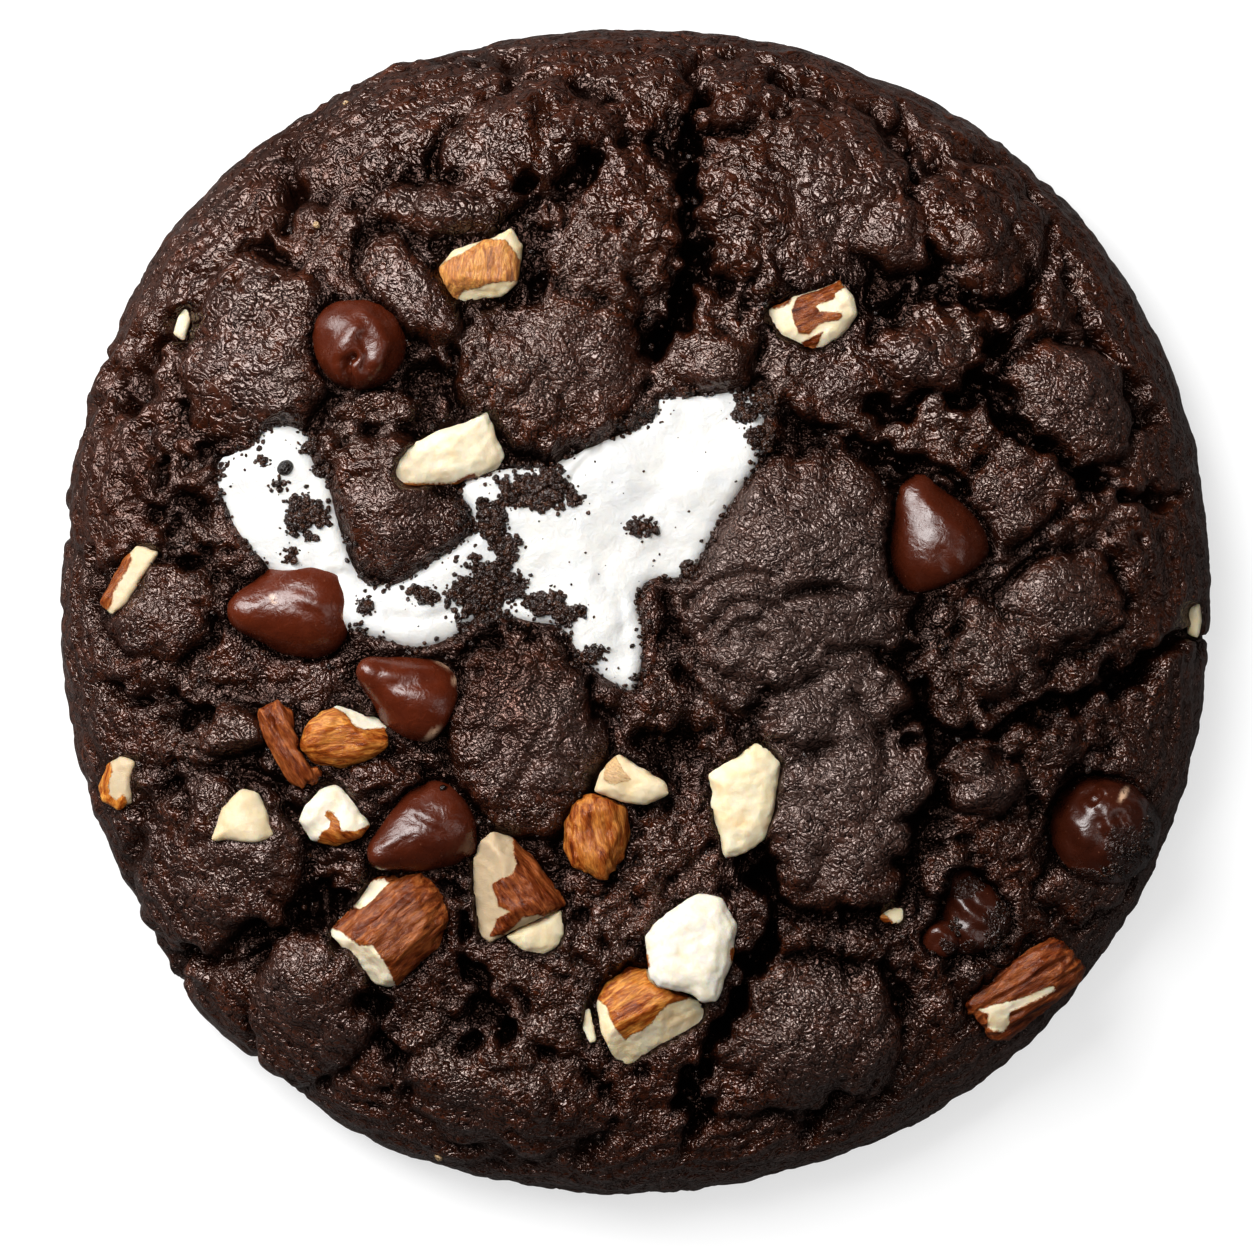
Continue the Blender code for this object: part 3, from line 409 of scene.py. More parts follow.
CHIP_SCUFFS = {                 # pale places: x, y, half length, half width, turn
    "chip_3": ((-19.6, -4.7, 1.5, 0.35, -35), (-17.9, -6.7, 0.5, 0.3, 60),
               (-20.3, -12.2, 0.9, 0.3, 40)),
    "chip_6": ((48.8, -18.2, 0.7, 0.3, 60),),
    "chip_2": ((-36.2, 1.3, 0.4, 0.15, 110), (-29.0, -0.4, 0.3, 0.15, 0)),
}
SCUFF_EDGE, DOUGHY_EDGE = 1.6, 1.4      # where such places end, in half sizes from their middle


def chip_side(size, slump):
    """The side of a chip from the middle of its base, round a soft edge, to its blunt point."""
    radius = CHIP_RADIUS * size
    height = CHIP_HEIGHT * size * (1 - 0.3 * slump)
    ends = CHIP_OUTLINE[:1] + CHIP_OUTLINE + CHIP_OUTLINE[-1:]
    side = []
    for before, here, after, beyond in zip(ends, ends[1:], ends[2:], ends[3:]):
        for step in range(3):
            t = step / 3
            up, wide = (
                (2 * b + (c - a) * t + (2 * a - 5 * b + 4 * c - d) * t * t
                 + (3 * b - a - 3 * c + d) * t ** 3) / 2
                for a, b, c, d in zip(before, here, after, beyond))
            wide += slump * 0.35 * math.sin(math.pi * min(max(up, 0.0), 1.0)) * up
            side.append((max(radius * wide, 0.0), height * up))
    return side + [(0.0, height)]


def turned(side, steps):
    """A bmesh of a side turned once about the z axis."""
    bm = bmesh.new()
    line = [bm.verts.new((radius, 0.0, height)) for radius, height in side]
    edges = [bm.edges.new(pair) for pair in zip(line[:-1], line[1:])]
    bmesh.ops.spin(bm, geom=line + edges, cent=(0, 0, 0), axis=(0, 0, 1), dvec=(0, 0, 0),
                   angle=2 * math.pi, steps=steps, use_merge=True, use_duplicate=False)
    bmesh.ops.remove_doubles(bm, verts=bm.verts, dist=1e-4)
    bmesh.ops.recalc_face_normals(bm, faces=bm.faces)
    return bm


def middle_of(bm):
    """The middle of the box round a bmesh."""
    places = np.array(spots_of(bm))
    return (places.min(axis=0) + places.max(axis=0)) / 2


def along_and_across(x, y, centre_x, centre_y, turn):
    """Coordinates along and across a direction, measured from a centre."""
    cos, sin = math.cos(math.radians(turn)), math.sin(math.radians(turn))
    return (x - centre_x) * cos + (y - centre_y) * sin, (y - centre_y) * cos - (x - centre_x) * sin


def patches_on(places, patches, edge):
    """1 inside oval patches, fading to 0 where the distance in half sizes reaches edge."""
    mask = np.zeros(len(places))
    for centre_x, centre_y, half_length, half_width, direction in patches:
        along, across = along_and_across(places[:, 0], places[:, 1], centre_x, centre_y, direction)
        spread = np.hypot(along / half_length, across / half_width)
        mask = np.maximum(mask, np.clip(edge - spread, 0.0, 1.0))
    return mask


chocolate, tree, shader, place = new_material("chip_chocolate", Specular_IOR_Level=0.85)
cloudy = noise_at(tree, place, 0.35, 3.0, 0.6, 0.5)
colour = ramp(tree, cloudy, (0.3, (0.108, 0.0185, 0.0055)), (0.7, (0.155, 0.030, 0.0095)))
colour = blend_colours(tree, attribute(tree, "dark"), colour, (0.036, 0.0095, 0.0045))
scuffed = maths(tree, "MULTIPLY", attribute(tree, "scuff"),
                ramp(tree, noise_at(tree, place, 2.2, 3.0, 0.6), (0.36, 0.0), (0.46, 1.0)))
flecks = add_node(tree, "TexVoronoi", {"Vector": place, "Scale": 1.1})
dusty = ramp(tree, flecks.outputs["Distance"], (0.06, 0.55), (0.10, 0.0))
colour = blend_colours(tree, scuffed, colour, (0.76, 0.50, 0.34))
colour = blend_colours(tree, dusty, colour, (0.30, 0.13, 0.08))
smeared = ramp(tree, maths(tree, "ADD", attribute(tree, "doughy"),
                           maths(tree, "SUBTRACT", noise_at(tree, place, 1.1, 4.0, 0.65), 0.5)),
               (0.30, 0.0), (0.50, 1.0))
colour = blend_colours(tree, smeared, colour, (0.034, 0.0085, 0.0032))
tree.links.new(colour, shader.inputs["Base Color"])
sheen = ramp(tree, noise_at(tree, place, 0.8, 3.0, 0.6), (0.3, 0.22), (0.7, 0.33))
tree.links.new(sheen, shader.inputs["Roughness"])
height = maths(tree, "ADD", noise_at(tree, place, 0.9, 4.0, 0.55, 1.2),
               maths(tree, "MULTIPLY", noise_at(tree, place, 7.0, 2.0), 0.08))
smooth = bump(tree, height, 0.30, 0.35)
height, _ = crinkles(tree, place, 1.22, 1.0, 0.6)
height = maths(tree, "MULTIPLY", height, smeared)
tree.links.new(bump(tree, height, 1.0, 0.12, smooth), shader.inputs["Normal"])

toppings = [marshmallow]
for name, (x, y, azimuth, rise, size, slump, dark) in CHIPS.items():
    bm = turned(chip_side(size, slump), CHIP_SIDES)
    for vertex in bm.verts:
        vertex.co.x += CHIP_BEND * size * (vertex.co.z / (CHIP_HEIGHT * size)) ** 3
    azimuth, rise = math.radians(azimuth), math.radians(rise)
    point = Vector((math.cos(azimuth) * math.cos(rise), math.sin(azimuth) * math.cos(rise),
                    math.sin(rise)))
    turn = Vector((0, 0, 1)).rotation_difference(point).to_matrix()
    bmesh.ops.rotate(bm, cent=(0, 0, 0), matrix=turn, verts=bm.verts)
    middle = middle_of(bm)
    highest = max(vertex.co.z for vertex in bm.verts)
    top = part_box(name)[1][2] / MM
    bmesh.ops.translate(bm, vec=(x - middle[0], y - middle[1], top - highest), verts=bm.verts)
    bm.normal_update()
    spots = spots_of(bm)
    ripple = sum(height * soft_noise(spots, width, 50) for width, height in CHIP_RIPPLES)
    ripple = ripple + MELTED.get(name, 0.0) * soft_noise(spots, MELTED_WIDTH, 53)
    for rise_of_fold, half_width, *points in CHIP_FOLDS.get(name, ()):
        away = from_line(np.array(spots)[:, 0], np.array(spots)[:, 1], points) / half_width
        facing_up = np.array([max(vertex.normal.z, 0.0) for vertex in bm.verts])
        ripple = ripple + rise_of_fold * facing_up * np.exp(-away ** 2)
    for vertex, rise_here in zip(bm.verts, ripple):
        vertex.co += vertex.normal * rise_here
    places = np.array(spots_of(bm))
    scuff = patches_on(places, CHIP_SCUFFS.get(name, ()), SCUFF_EDGE)
    doughy = patches_on(places, DOUGHY.get(name, ()), DOUGHY_EDGE)
    piece = add_piece("chocolate_" + name, bm, chocolate, {
        "scuff": scuff, "doughy": doughy, "dark": np.full(len(places), dark)})
    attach(piece, "root")
    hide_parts(name)
    toppings.append(piece)


# ---------------------------------------------------------------- chopped almonds and pecans
# Roasted almonds and two bits of pecan, chopped with a knife: cream flesh where the knife
# went through, and brown ridged skin, flaked at its edges, where the nut's outside was.
NUT_CELL = 0.00021              # metres
NUT_ROUNDING = 2                # smoothing passes, which soften the knife's edges
SKIN = {                        # the skin's patches on each piece, seen from above
    "almond_1": (((-19.9, 34.2), (-19.0, 35.0), (-17.2, 35.8), (-15.0, 37.2), (-13.0, 37.1),
                  (-12.4, 36.4), (-11.5, 35.0), (-11.6, 33.1), (-14.5, 32.8), (-17.4, 31.9),
                  (-18.4, 30.0), (-19.6, 30.0)),),
    "almond_2": (((15.6, 30.2), (16.2, 31.4), (18.4, 32.2), (20.5, 33.1), (20.9, 32.4),
                  (19.9, 31.8), (19.8, 31.2), (17.9, 30.6), (18.4, 30.0), (20.7, 29.9),
                  (20.4, 29.2), (18.4, 28.8), (17.3, 27.7), (16.3, 27.9), (15.8, 28.9)),
                 ((16.6, 26.9), (18.7, 28.0), (18.0, 26.3), (17.0, 25.8)),
                 ((13.2, 30.5), (15.6, 31.8), (15.4, 30.8), (14.0, 30.2))),
    "almond_3": (((-24.2, 12.8), (-23.0, 12.9), (-18.5, 12.8), (-16.2, 13.9), (-15.4, 13.2),
                  (-18.0, 11.8), (-23.8, 11.6)),),
    "almond_4": (((-54.8, 0.5), (-52.9, 0.0), (-52.3, 1.0), (-52.2, 2.0), (-51.2, 3.6),
                  (-50.3, 5.2), (-50.9, 6.6), (-53.6, 3.8)),),
    "almond_6": (((-34.0, -13.4), (-33.6, -11.6), (-32.4, -10.3), (-31.2, -9.3), (-30.3, -9.4),
                  (-29.0, -10.2), (-28.0, -11.4), (-27.0, -11.7), (-25.2, -11.6), (-24.2, -12.0),
                  (-24.3, -13.6), (-26.6, -15.2), (-30.0, -16.4), (-32.8, -15.6)),),
    "almond_7": (((-32.0, -23.2), (-31.2, -21.9), (-30.6, -21.6), (-30.4, -20.9),
                  (-31.0, -20.3), (-30.9, -19.8), (-30.2, -20.0), (-29.6, -20.9),
                  (-29.4, -21.8), (-28.0, -21.9), (-26.4, -21.2), (-26.6, -22.8),
                  (-29.0, -24.0), (-31.6, -23.8)),),
    "almond_9": (((-54.4, -17.2), (-53.4, -15.4), (-52.6, -15.0), (-52.3, -15.9),
                  (-52.7, -17.2), (-52.7, -18.2), (-52.0, -18.9), (-51.2, -18.2),
                  (-50.8, -19.2), (-51.8, -20.4), (-53.8, -19.4)),),
    "almond_10": (((-31.6, -31.2), (-30.2, -29.6), (-28.5, -29.3), (-27.5, -29.7),
                   (-26.6, -29.1), (-24.6, -27.1), (-25.0, -26.7), (-27.0, -27.0),
                   (-26.6, -26.0), (-21.8, -25.2), (-20.2, -26.2), (-18.6, -27.8),
                   (-17.8, -30.4), (-19.2, -34.2), (-23.7, -38.0), (-24.3, -36.4),
                   (-24.8, -35.4), (-25.4, -34.4), (-26.3, -33.2), (-27.6, -33.3),
                   (-29.4, -31.9)),),
    "almond_11": (((-12.3, -22.2), (-12.2, -24.2), (-11.9, -25.2), (-12.3, -26.2),
                   (-13.6, -26.7), (-14.3, -27.2), (-14.1, -28.0), (-13.8, -28.6),
                   (-13.6, -29.4), (-12.4, -29.9), (-13.0, -30.2), (-13.9, -30.6),
                   (-14.1, -31.4), (-14.6, -32.4), (-13.2, -32.3), (-11.9, -31.2),
                   (-11.3, -30.5), (-9.9, -30.2), (-8.4, -30.6), (-6.2, -29.6),
                   (-7.6, -27.2), (-9.2, -24.8), (-11.0, -23.0)),),
    "almond_13": (((-8, -27), (-8, -17), (1, -17), (1, -27)),),
    "almond_14": (((-3.0, -15.0), (-1.9, -14.4), (-1.4, -15.6), (-0.4, -16.8), (-2.4, -17.2),
                   (-3.2, -16.6)),),
    "almond_16": (((0.6, -33.9), (1.3, -34.2), (1.4, -35.4), (0.7, -35.6)),
                  ((9.5, -33.6), (10.4, -33.4), (10.2, -35.2), (9.5, -34.8))),
    "almond_17": (((-4.2, -38.4), (-3.4, -36.6), (-2.0, -35.0), (-0.6, -34.3), (1.0, -34.4),
                   (1.2, -36.6), (2.2, -37.5), (4.2, -37.9), (6.2, -38.2), (4.6, -38.8),
                   (3.2, -39.2), (2.4, -39.9), (1.6, -41.0), (0.6, -41.8), (-0.3, -42.1),
                   (-1.0, -42.8), (-1.8, -41.8), (-2.6, -40.4), (-2.8, -39.4)),),
    "almond_19": (((23.0, -29.8), (24.4, -29.9), (25.4, -30.6), (26.4, -31.8), (24.2, -31.6)),),
    "pecan_1": (((31.0, -44.0), (31.0, -31.0), (47.0, -31.0), (47.0, -44.0)),),
    "pecan_2": (((-39.0, -19.0), (-39.0, -8.0), (-30.0, -8.0), (-30.0, -19.0)),),
}
BARE = {                        # flesh that shows inside a patch of skin
    "pecan_1": (((34.2, -39.8), (36.0, -39.2), (38.0, -38.8), (41.8, -37.3), (42.0, -37.8),
                 (39.2, -39.2), (37.4, -40.0), (37.4, -41.2), (36.8, -42.0), (35.2, -41.6),
                 (35.3, -40.2)),),
}
NUT_LOOKS = {                   # grain in degrees, darkness of the skin, ridges, whiteness (below 0 the flesh turns tan, partly painted shade)
    "almond_1": (84, -0.22, 0.14, -0.2), "almond_2": (20, 0.75, 0.14, 0.3),
    "almond_3": (20, 0.55, 0.0, 0.35), "almond_4": (58, 0.75, 0.05, -0.65),
    "almond_5": (70, 0.5, 0.0, 0.4), "almond_6": (4, 0.30, 0.06, 0.8),
    "almond_7": (150, 0.35, 0.05, 0.8), "almond_8": (90, 0.5, 0.0, -0.45),
    "almond_9": (80, 0.0, 0.05, -0.85), "almond_10": (38, 0.80, 0.20, 0.4),
    "almond_11": (-52, 0.85, 0.10, -1.0), "almond_12": (20, 0.5, 0.0, -0.1),
    "almond_13": (101, 0.38, 0.20, 0.4), "almond_14": (-22, -0.8, 0.0, -0.35),
    "almond_15": (100, 0.5, 0.0, 0.1), "almond_16": (70, 0.5, 0.0, 1.0),
    "almond_17": (30, 0.12, 0.05, -0.15), "almond_18": (95, 0.5, 0.0, 0.3),
    "almond_19": (0, 0.4, 0.0, 0.2), "almond_20": (90, 0.4, 0.0, 0.2),
    "pecan_1": (32, 0.86, 0.34, 0.3), "pecan_2": (-62, 0.82, 0.34, 0.4),
}
AMBER = {                       # a patch of lighter skin, and how much lighter
    "almond_6": (0.42, ((-32.6, -10.6), (-31.2, -9.0), (-29.4, -9.6), (-28.4, -11.0), (-30.6, -11.6),
                        (-32.4, -12.0))),
}
TUCKED = {"almond_12": (-0.45, 0.55)}   # slid under its neighbour, in mm

RIDGE_LENGTH, RIDGE_WIDTH = 7.0, 0.80
NUT_CHIPS = ((1.6, 0.14), (0.7, 0.08))      # width and depth of the knife's small nicks
SKIN_PROUD = 0.05               # how far the skin stands above the flesh


def along_grain(tree, grain, stretch, *looks):
    """Noise that is drawn out along the grain of a nut."""
    drawn = add_node(tree, "Mapping", {"Vector": grain, "Scale": (stretch, 1.0, 1.0)})
    return noise_at(tree, drawn.outputs[0], *looks)


nut_flesh_and_skin, tree, shader, place = new_material(
    "nut_flesh_and_skin", Specular_IOR_Level=0.26, Subsurface_Weight=0.3,
    Subsurface_Radius=(1.0, 0.55, 0.25), Subsurface_Scale=0.0012)
grain = add_node(tree, "Attribute", attribute_name="grain").outputs["Vector"]
streaks = along_grain(tree, grain, 0.22, 1.5, 3.0, 0.6, 0.8)
fibres = along_grain(tree, grain, 0.25, 5.5, 3.0, 0.65, 0.3)
ragged = noise_at(tree, place, 3.2, 3.0, 0.7)
edge = maths(tree, "ADD", attribute(tree, "skin"),
             maths(tree, "MULTIPLY", maths(tree, "SUBTRACT", ragged, 0.5), 0.30))
skin = ramp(tree, edge, (0.485, 0.0), (0.525, 1.0))
cream = ramp(tree, noise_at(tree, place, 0.55, 3.0, 0.55, 0.4),
             (0.30, (0.88, 0.67, 0.38)), (0.52, (0.93, 0.785, 0.53)), (0.72, (0.95, 0.85, 0.63)))
white = ramp(tree, noise_at(tree, place, 0.8, 3.0, 0.55, 0.4),
             (0.30, (0.86, 0.77, 0.57)), (0.50, (0.90, 0.83, 0.70)), (0.72, (0.93, 0.87, 0.79)))
flesh = blend_colours(tree, attribute(tree, "whiteness_and_shade"), cream, white)
# below 0 the flesh goes tan: partly its own roasted tone, partly painted shade that dims pieces whose
# faces catch the lamp
tan_and_shade = maths(tree, "MULTIPLY", attribute(tree, "whiteness_and_shade"), -1.0, clamp=True)
flesh = blend_colours(tree, tan_and_shade, flesh, (0.57, 0.44, 0.29))
lit_skin = ramp(tree, streaks, (0.30, (0.20, 0.036, 0.006)), (0.43, (0.53, 0.145, 0.020)),
                (0.62, (0.88, 0.40, 0.085)))
dark_skin = ramp(tree, streaks, (0.28, (0.045, 0.008, 0.003)), (0.50, (0.20, 0.042, 0.015)),
                 (0.74, (0.48, 0.135, 0.050)))
skin_colour = blend_colours(tree, attribute(tree, "dark"), lit_skin, dark_skin)
pale = maths(tree, "MULTIPLY", attribute(tree, "dark"), -1.0, clamp=True)
skin_colour = blend_colours(tree, pale, skin_colour, (0.80, 0.60, 0.34))
skin_colour = blend_colours(tree, ramp(tree, fibres, (0.35, 0.55), (0.65, 0.0)), skin_colour,
                            (0.30, 0.22, 0.18), "MULTIPLY")
rim_of_skin = maths(tree, "MULTIPLY", ramp(tree, edge, (0.44, 0.0), (0.48, 0.6), (0.53, 0.0)),
                    maths(tree, "SUBTRACT", 1.0, pale))
colour = blend_colours(tree, skin, flesh, skin_colour)
colour = blend_colours(tree, rim_of_skin, colour, (0.36, 0.15, 0.045))
tree.links.new(colour, shader.inputs["Base Color"])
sheen = blend_colours(tree, skin, (0.42, 0.42, 0.42), (0.24, 0.24, 0.24))
tree.links.new(sheen, shader.inputs["Roughness"])
height = maths(tree, "ADD", maths(tree, "MULTIPLY", fibres, skin),
               maths(tree, "ADD", maths(tree, "MULTIPLY", skin, 0.25),
                     maths(tree, "MULTIPLY", noise_at(tree, place, 2.6, 4.0, 0.65), 0.45)))
tree.links.new(bump(tree, height, 0.6, 0.20), shader.inputs["Normal"])


def recast(node, cell):
    """A closed copy of a CAD node with even cells, as a bmesh in millimetres."""
    bm = bmesh.new()
    bm.from_mesh(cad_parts[node].data)
    bmesh.ops.remove_doubles(bm, verts=bm.verts, dist=1e-6)
    mesh = bpy.data.meshes.new(node + "_copy")
    bm.to_mesh(mesh)
    bm.free()
    holder = bpy.data.objects.new(node + "_copy", mesh)
    bpy.context.scene.collection.objects.link(holder)
    remesh = holder.modifiers.new("even_cells", "REMESH")
    remesh.mode = "VOXEL"
    remesh.voxel_size = cell
    finished = holder.evaluated_get(bpy.context.evaluated_depsgraph_get())
    bm = bmesh.new()
    bm.from_mesh(finished.to_mesh())
    bpy.data.objects.remove(holder, do_unlink=True)
    bpy.data.meshes.remove(mesh)
    bmesh.ops.scale(bm, vec=(1 / MM, 1 / MM, 1 / MM), verts=bm.verts)
    return bm


for name, (grain, dark, ridge, whiteness_and_shade) in NUT_LOOKS.items():
    bm = recast(name, NUT_CELL)
    for _ in range(NUT_ROUNDING):
        bmesh.ops.smooth_vert(bm, verts=bm.verts, factor=0.5,
                              use_axis_x=True, use_axis_y=True, use_axis_z=True)
    bm.normal_update()
    places = np.array(spots_of(bm))
    x, y = places[:, 0], places[:, 1]
    centre = middle_of(bm)
    along, across = along_and_across(x, y, centre[0], centre[1], grain)
    skin = np.full(len(places), -2.0)
    for patch in SKIN.get(name, ()):
        skin = np.maximum(skin, inside_reach(x, y, patch))
    for patch in BARE.get(name, ()):
        skin = np.minimum(skin, -inside_reach(x, y, patch))
    skin_share = np.clip(0.5 + skin / 1.6, 0.0, 1.0)
    skin_dark = np.full(len(places), dark)
    if name in AMBER:
        lighter, patch = AMBER[name]
        skin_dark = skin_dark - lighter * step_between(-0.25, 0.25, inside_reach(x, y, patch))
    drawn_out = [Vector((a / RIDGE_LENGTH, c, z / 2.0))
                 for a, c, z in zip(along, across, places[:, 2])]
    ridges = 0.5 - np.abs(soft_noise(drawn_out, RIDGE_WIDTH, 60)) * 2.2
    spots = spots_of(bm)
    chipped = sum(depth * soft_noise(spots, width, 61 + seed)
                  for seed, (width, depth) in enumerate(NUT_CHIPS))
    lift = chipped + (ridge * ridges + SKIN_PROUD) * step_between(0.42, 0.58, skin_share)
    for vertex, rise_here in zip(bm.verts, lift):
        vertex.co += vertex.normal * rise_here
    bmesh.ops.translate(bm, vec=(*TUCKED.get(name, (0.0, 0.0)), 0.0), verts=bm.verts)
    piece = add_piece(name + "_chopped", bm, nut_flesh_and_skin, {
        "skin": skin_share, "dark": skin_dark,
        "whiteness_and_shade": np.full(len(places), whiteness_and_shade),
        "grain": np.column_stack((along, across, places[:, 2]))})
    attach(piece, "root")
    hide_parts(name)
    toppings.append(piece)


# ---------------------------------------------------------------- dough
# The body of the cookie: moist dark chocolate dough, scooped and baked until its skin
# crinkled over soft lumps, with open cracks and a rim that sagged in bands. The toppings
# were pressed into it, so it stands round each of them with a narrow gap, darkened
# with painted shade.
TUCK = 4.5
DOUGH_CELLS = 313
FINE_SHARE, FINE_TRAVEL = 0.87, 62.0     # of the net, spent on the top, in mm from the middle
PROFILE_STEPS = 240
SWELLS = ((13.0, 0.9), (6.5, 0.5))
BILLOWS = (                     # width, rise, how much more where crumbly, share left at the rim
    (6.4, 0.75, 0.3, 0.7), (3.1, 0.50, 0.9, 0.4), (1.5, 0.32, 0.8, 0.4),
)
LUMPS = (                       # x, y, half length, half width, turn, rise
    (16.0, 2.0, 14.5, 13.0, 60, 3.3), (21.0, -19.4, 12.0, 9.6, 80, 2.5),
    (-11.2, -12.8, 10.4, 8.2, 100, 3.0), (-8.2, 23.6, 10.0, 8.6, 20, 2.3),
    (-24.0, 10.2, 8.4, 7.2, 120, 2.6), (-38.2, 24.6, 11.0, 7.6, 80, 2.0),
    (7.2, 25.0, 5.6, 3.6, -10, 1.6), (-3.0, 38.0, 11.0, 8.4, 95, 0.9),
    (17.0, 40.5, 12.5, 11.0, 0, 1.6), (10.2, 51.2, 5.4, 4.0, 0, 1.0),
    (25.4, 37.2, 4.8, 4.6, 0, 2.0), (-19.0, 40.2, 8.4, 3.4, 6, 1.7),
    (-22.4, 30.8, 8.0, 3.4, -52, 1.8), (-24.0, 48.0, 12.0, 6.0, 25, 0.9),
    (-53.0, 12.2, 8.4, 5.0, 85, 1.4), (-42.0, -25.6, 9.8, 9.0, 60, 2.0),
    (-32.4, -39.2, 8.6, 6.6, 75, 3.0), (-13.0, -49.0, 11.0, 6.0, -10, 1.6),
    (17.6, -42.6, 9.8, 8.2, 10, 2.6), (34.8, -17.3, 3.6, 3.4, 0, 3.0),
    (-40.0, -12.2, 3.4, 3.0, 0, 1.6), (42.6, 1.0, 6.6, 5.2, 20, 1.9),
    (36.0, -4.2, 5.4, 5.2, 0, 1.8), (38.4, 11.8, 6.4, 5.2, 30, 1.7),
    (43.6, 20.4, 7.6, 6.2, -40, 2.0), (29.8, 25.6, 6.4, 5.0, 10, 1.8),
    (34.6, 38.0, 7.6, 6.6, -60, 1.7), (45.6, -26.6, 5.6, 4.2, 50, 1.8),
    (-48.0, 0.0, 6.0, 5.4, 0, 1.8), (31.0, -25.8, 3.6, 2.4, 20, 1.0),
    (-11.0, 46.0, 10.5, 6.5, 10, 1.9), (19.0, -10.5, 9.0, 8.6, 75, 2.6),
)
CRACKS = (                      # depth, half width, then the points that the crack runs through
    (3.2, 1.7, (6.6, 53.0), (5.4, 45.0), (5.6, 40.6), (5.2, 31.0), (1.9, 25.5)),
    (1.6, 1.2, (15.0, 52.8), (15.0, 48.5), (10.0, 47.4), (6.2, 47.8)),
    (2.2, 1.5, (26.8, 49.2), (26.8, 46.6), (27.6, 42.0)),
    (2.6, 1.4, (29.9, 37.4), (29.9, 34.3), (27.2, 31.3), (24.9, 30.1)),
    (2.2, 1.3, (35.2, 26.7), (38.3, 28.6), (39.1, 30.9), (41.0, 32.4)),
    (2.6, 1.5, (23.0, 19.4), (29.0, 20.9), (36.8, 21.5), (37.2, 19.0), (47.9, 11.4), (54.0, 11.7)),
    (2.6, 1.5, (16.9, 18.6), (25.3, 15.2), (31.0, 13.7), (35.2, 11.0)),
    (1.8, 1.2, (42.5, 37.8), (46.3, 26.3), (50.2, 22.5), (51.3, 19.0)),
    (3.2, 1.6, (28.3, -7.3), (29.1, -13.4), (29.9, -16.9), (28.7, -21.5), (28.0, -24.5)),
    (3.0, 1.7, (31.0, -13.4), (42.5, -9.6), (48.2, -7.3), (52.1, -4.6), (56.5, -2.8)),
    (2.0, 1.2, (13.4, -29.1), (18.8, -30.3), (23.4, -29.9)),
    (3.4, 1.8, (11.0, -25.7), (13.8, -28.3), (13.6, -33.3), (8.1, -41.0), (6.2, -46.0),
     (5.6, -52.8)),
    (2.2, 1.6, (23.0, -46.7), (18.8, -50.2), (17.6, -52.8)),
    (2.6, 1.7, (-45.4, -35.2), (-41.2, -33.3), (-35.1, -32.2), (-30.9, -28.3)),
    (2.4, 1.5, (-26.7, -39.1), (-26.3, -42.9), (-23.2, -46.0), (-25.9, -48.6)),
    (2.2, 1.4, (-52.3, -8.5), (-47.4, -9.2), (-43.6, -10.4)),
    (2.4, 1.7, (-43.2, 32.8), (-36.6, 37.8), (-34.7, 42.0)),
    (2.0, 1.4, (-3.7, 44.3), (-12.2, 42.0)),
    (2.6, 1.9, (-52.3, 20.9), (-50.0, 25.5), (-47.0, 28.6)),
    (2.4, 1.3, (-29.6, -33.0), (-32.6, -31.6), (-25.9, -26.4), (-17.6, -28.0)),
    (2.0, 1.4, (-17.6, -31.6), (-15.0, -38.0), (-13.0, -42.6)),
)
CRACK_NARROWED = 0.46
BORDER_DEPTH, BORDER_SHARPNESS = 0.8, 0.45
PITS = (                        # x, y, radius, depth
    (-50.8, 23.2, 3.0, 2.2), (-35.9, 38.5, 2.6, 1.8), (16.9, 18.6, 2.6, 1.8),
    (-15.6, -40.6, 2.8, 2.0), (-47.4, -9.2, 2.8, 1.6), (-45.4, 10.2, 4.6, 1.6),
    (3.0, -13.2, 3.0, 1.8), (12.4, -26.8, 2.4, 1.4), (-21.0, 22.6, 3.6, 1.8),
)
CREASES = (                     # depth, half width, then the points that the fold runs through
    (1.3, 0.50, (2.9, 1.2), (4.9, -2.8), (6.5, -5.6), (10.5, -7.8), (14.5, -8.3), (18.0, -7.0)),
    (1.5, 0.60, (11.0, -2.0), (12.0, -2.8), (13.5, -3.3)),
    (1.7, 0.65, (15.0, 1.2), (17.4, 1.9), (19.6, 2.2), (22.0, 1.4)),
    (1.5, 0.55, (19.4, -4.3), (23.5, -3.8), (26.5, -5.3)),
    (1.4, 0.60, (5.2, 0.4), (7.4, 2.6), (10.8, 3.6), (14.0, 3.2)),
    (1.4, 0.60, (7.0, -2.0), (9.6, 0.4), (13.0, 0.8), (16.0, -0.8), (17.6, -3.4)),
    (1.1, 0.55, (8.6, -3.6), (10.4, -1.4), (13.0, -1.2)),
    (1.3, 0.60, (22.0, -9.0), (24.4, -11.5), (25.2, -15.0)),
    (1.3, 0.60, (14.0, -13.0), (17.0, -14.4), (20.4, -13.6)),
)
HOLE_WIDTH, HOLE_DEPTH, HOLE_STEP = 1.7, 0.70, (0.18, 0.50)
BAND_WIDTH, BAND_RISE = 2.1, 0.20
BAND_FROM, BAND_TO = 49.0, 55.0  # radius where the rim's bands of wrinkles begin


def side_profile():
    """Radius (as a share of the full radius) and height along the side, from the middle
    of the top, over the shoulder and the waist, to the edge of the base."""
    share = np.sin(np.linspace(0, math.pi / 2, PROFILE_STEPS + 1))
    height = WAIST_HEIGHT + (THICKNESS - WAIST_HEIGHT) * (1 - share ** SHOULDER) ** (1 / ROUNDING)
    turn = np.linspace(0, math.pi / 2, PROFILE_STEPS // 4 + 1)[1:]
    share = np.concatenate((share, 1 - TUCK / MEAN_RADIUS * (1 - np.cos(turn))))
    height = np.concatenate((height, WAIST_HEIGHT * (1 - np.sin(turn))))
    travel = np.hypot(np.diff(share) * MEAN_RADIUS, np.diff(height))
    along = np.concatenate(([0.0], np.cumsum(travel)))
    return along, share, height


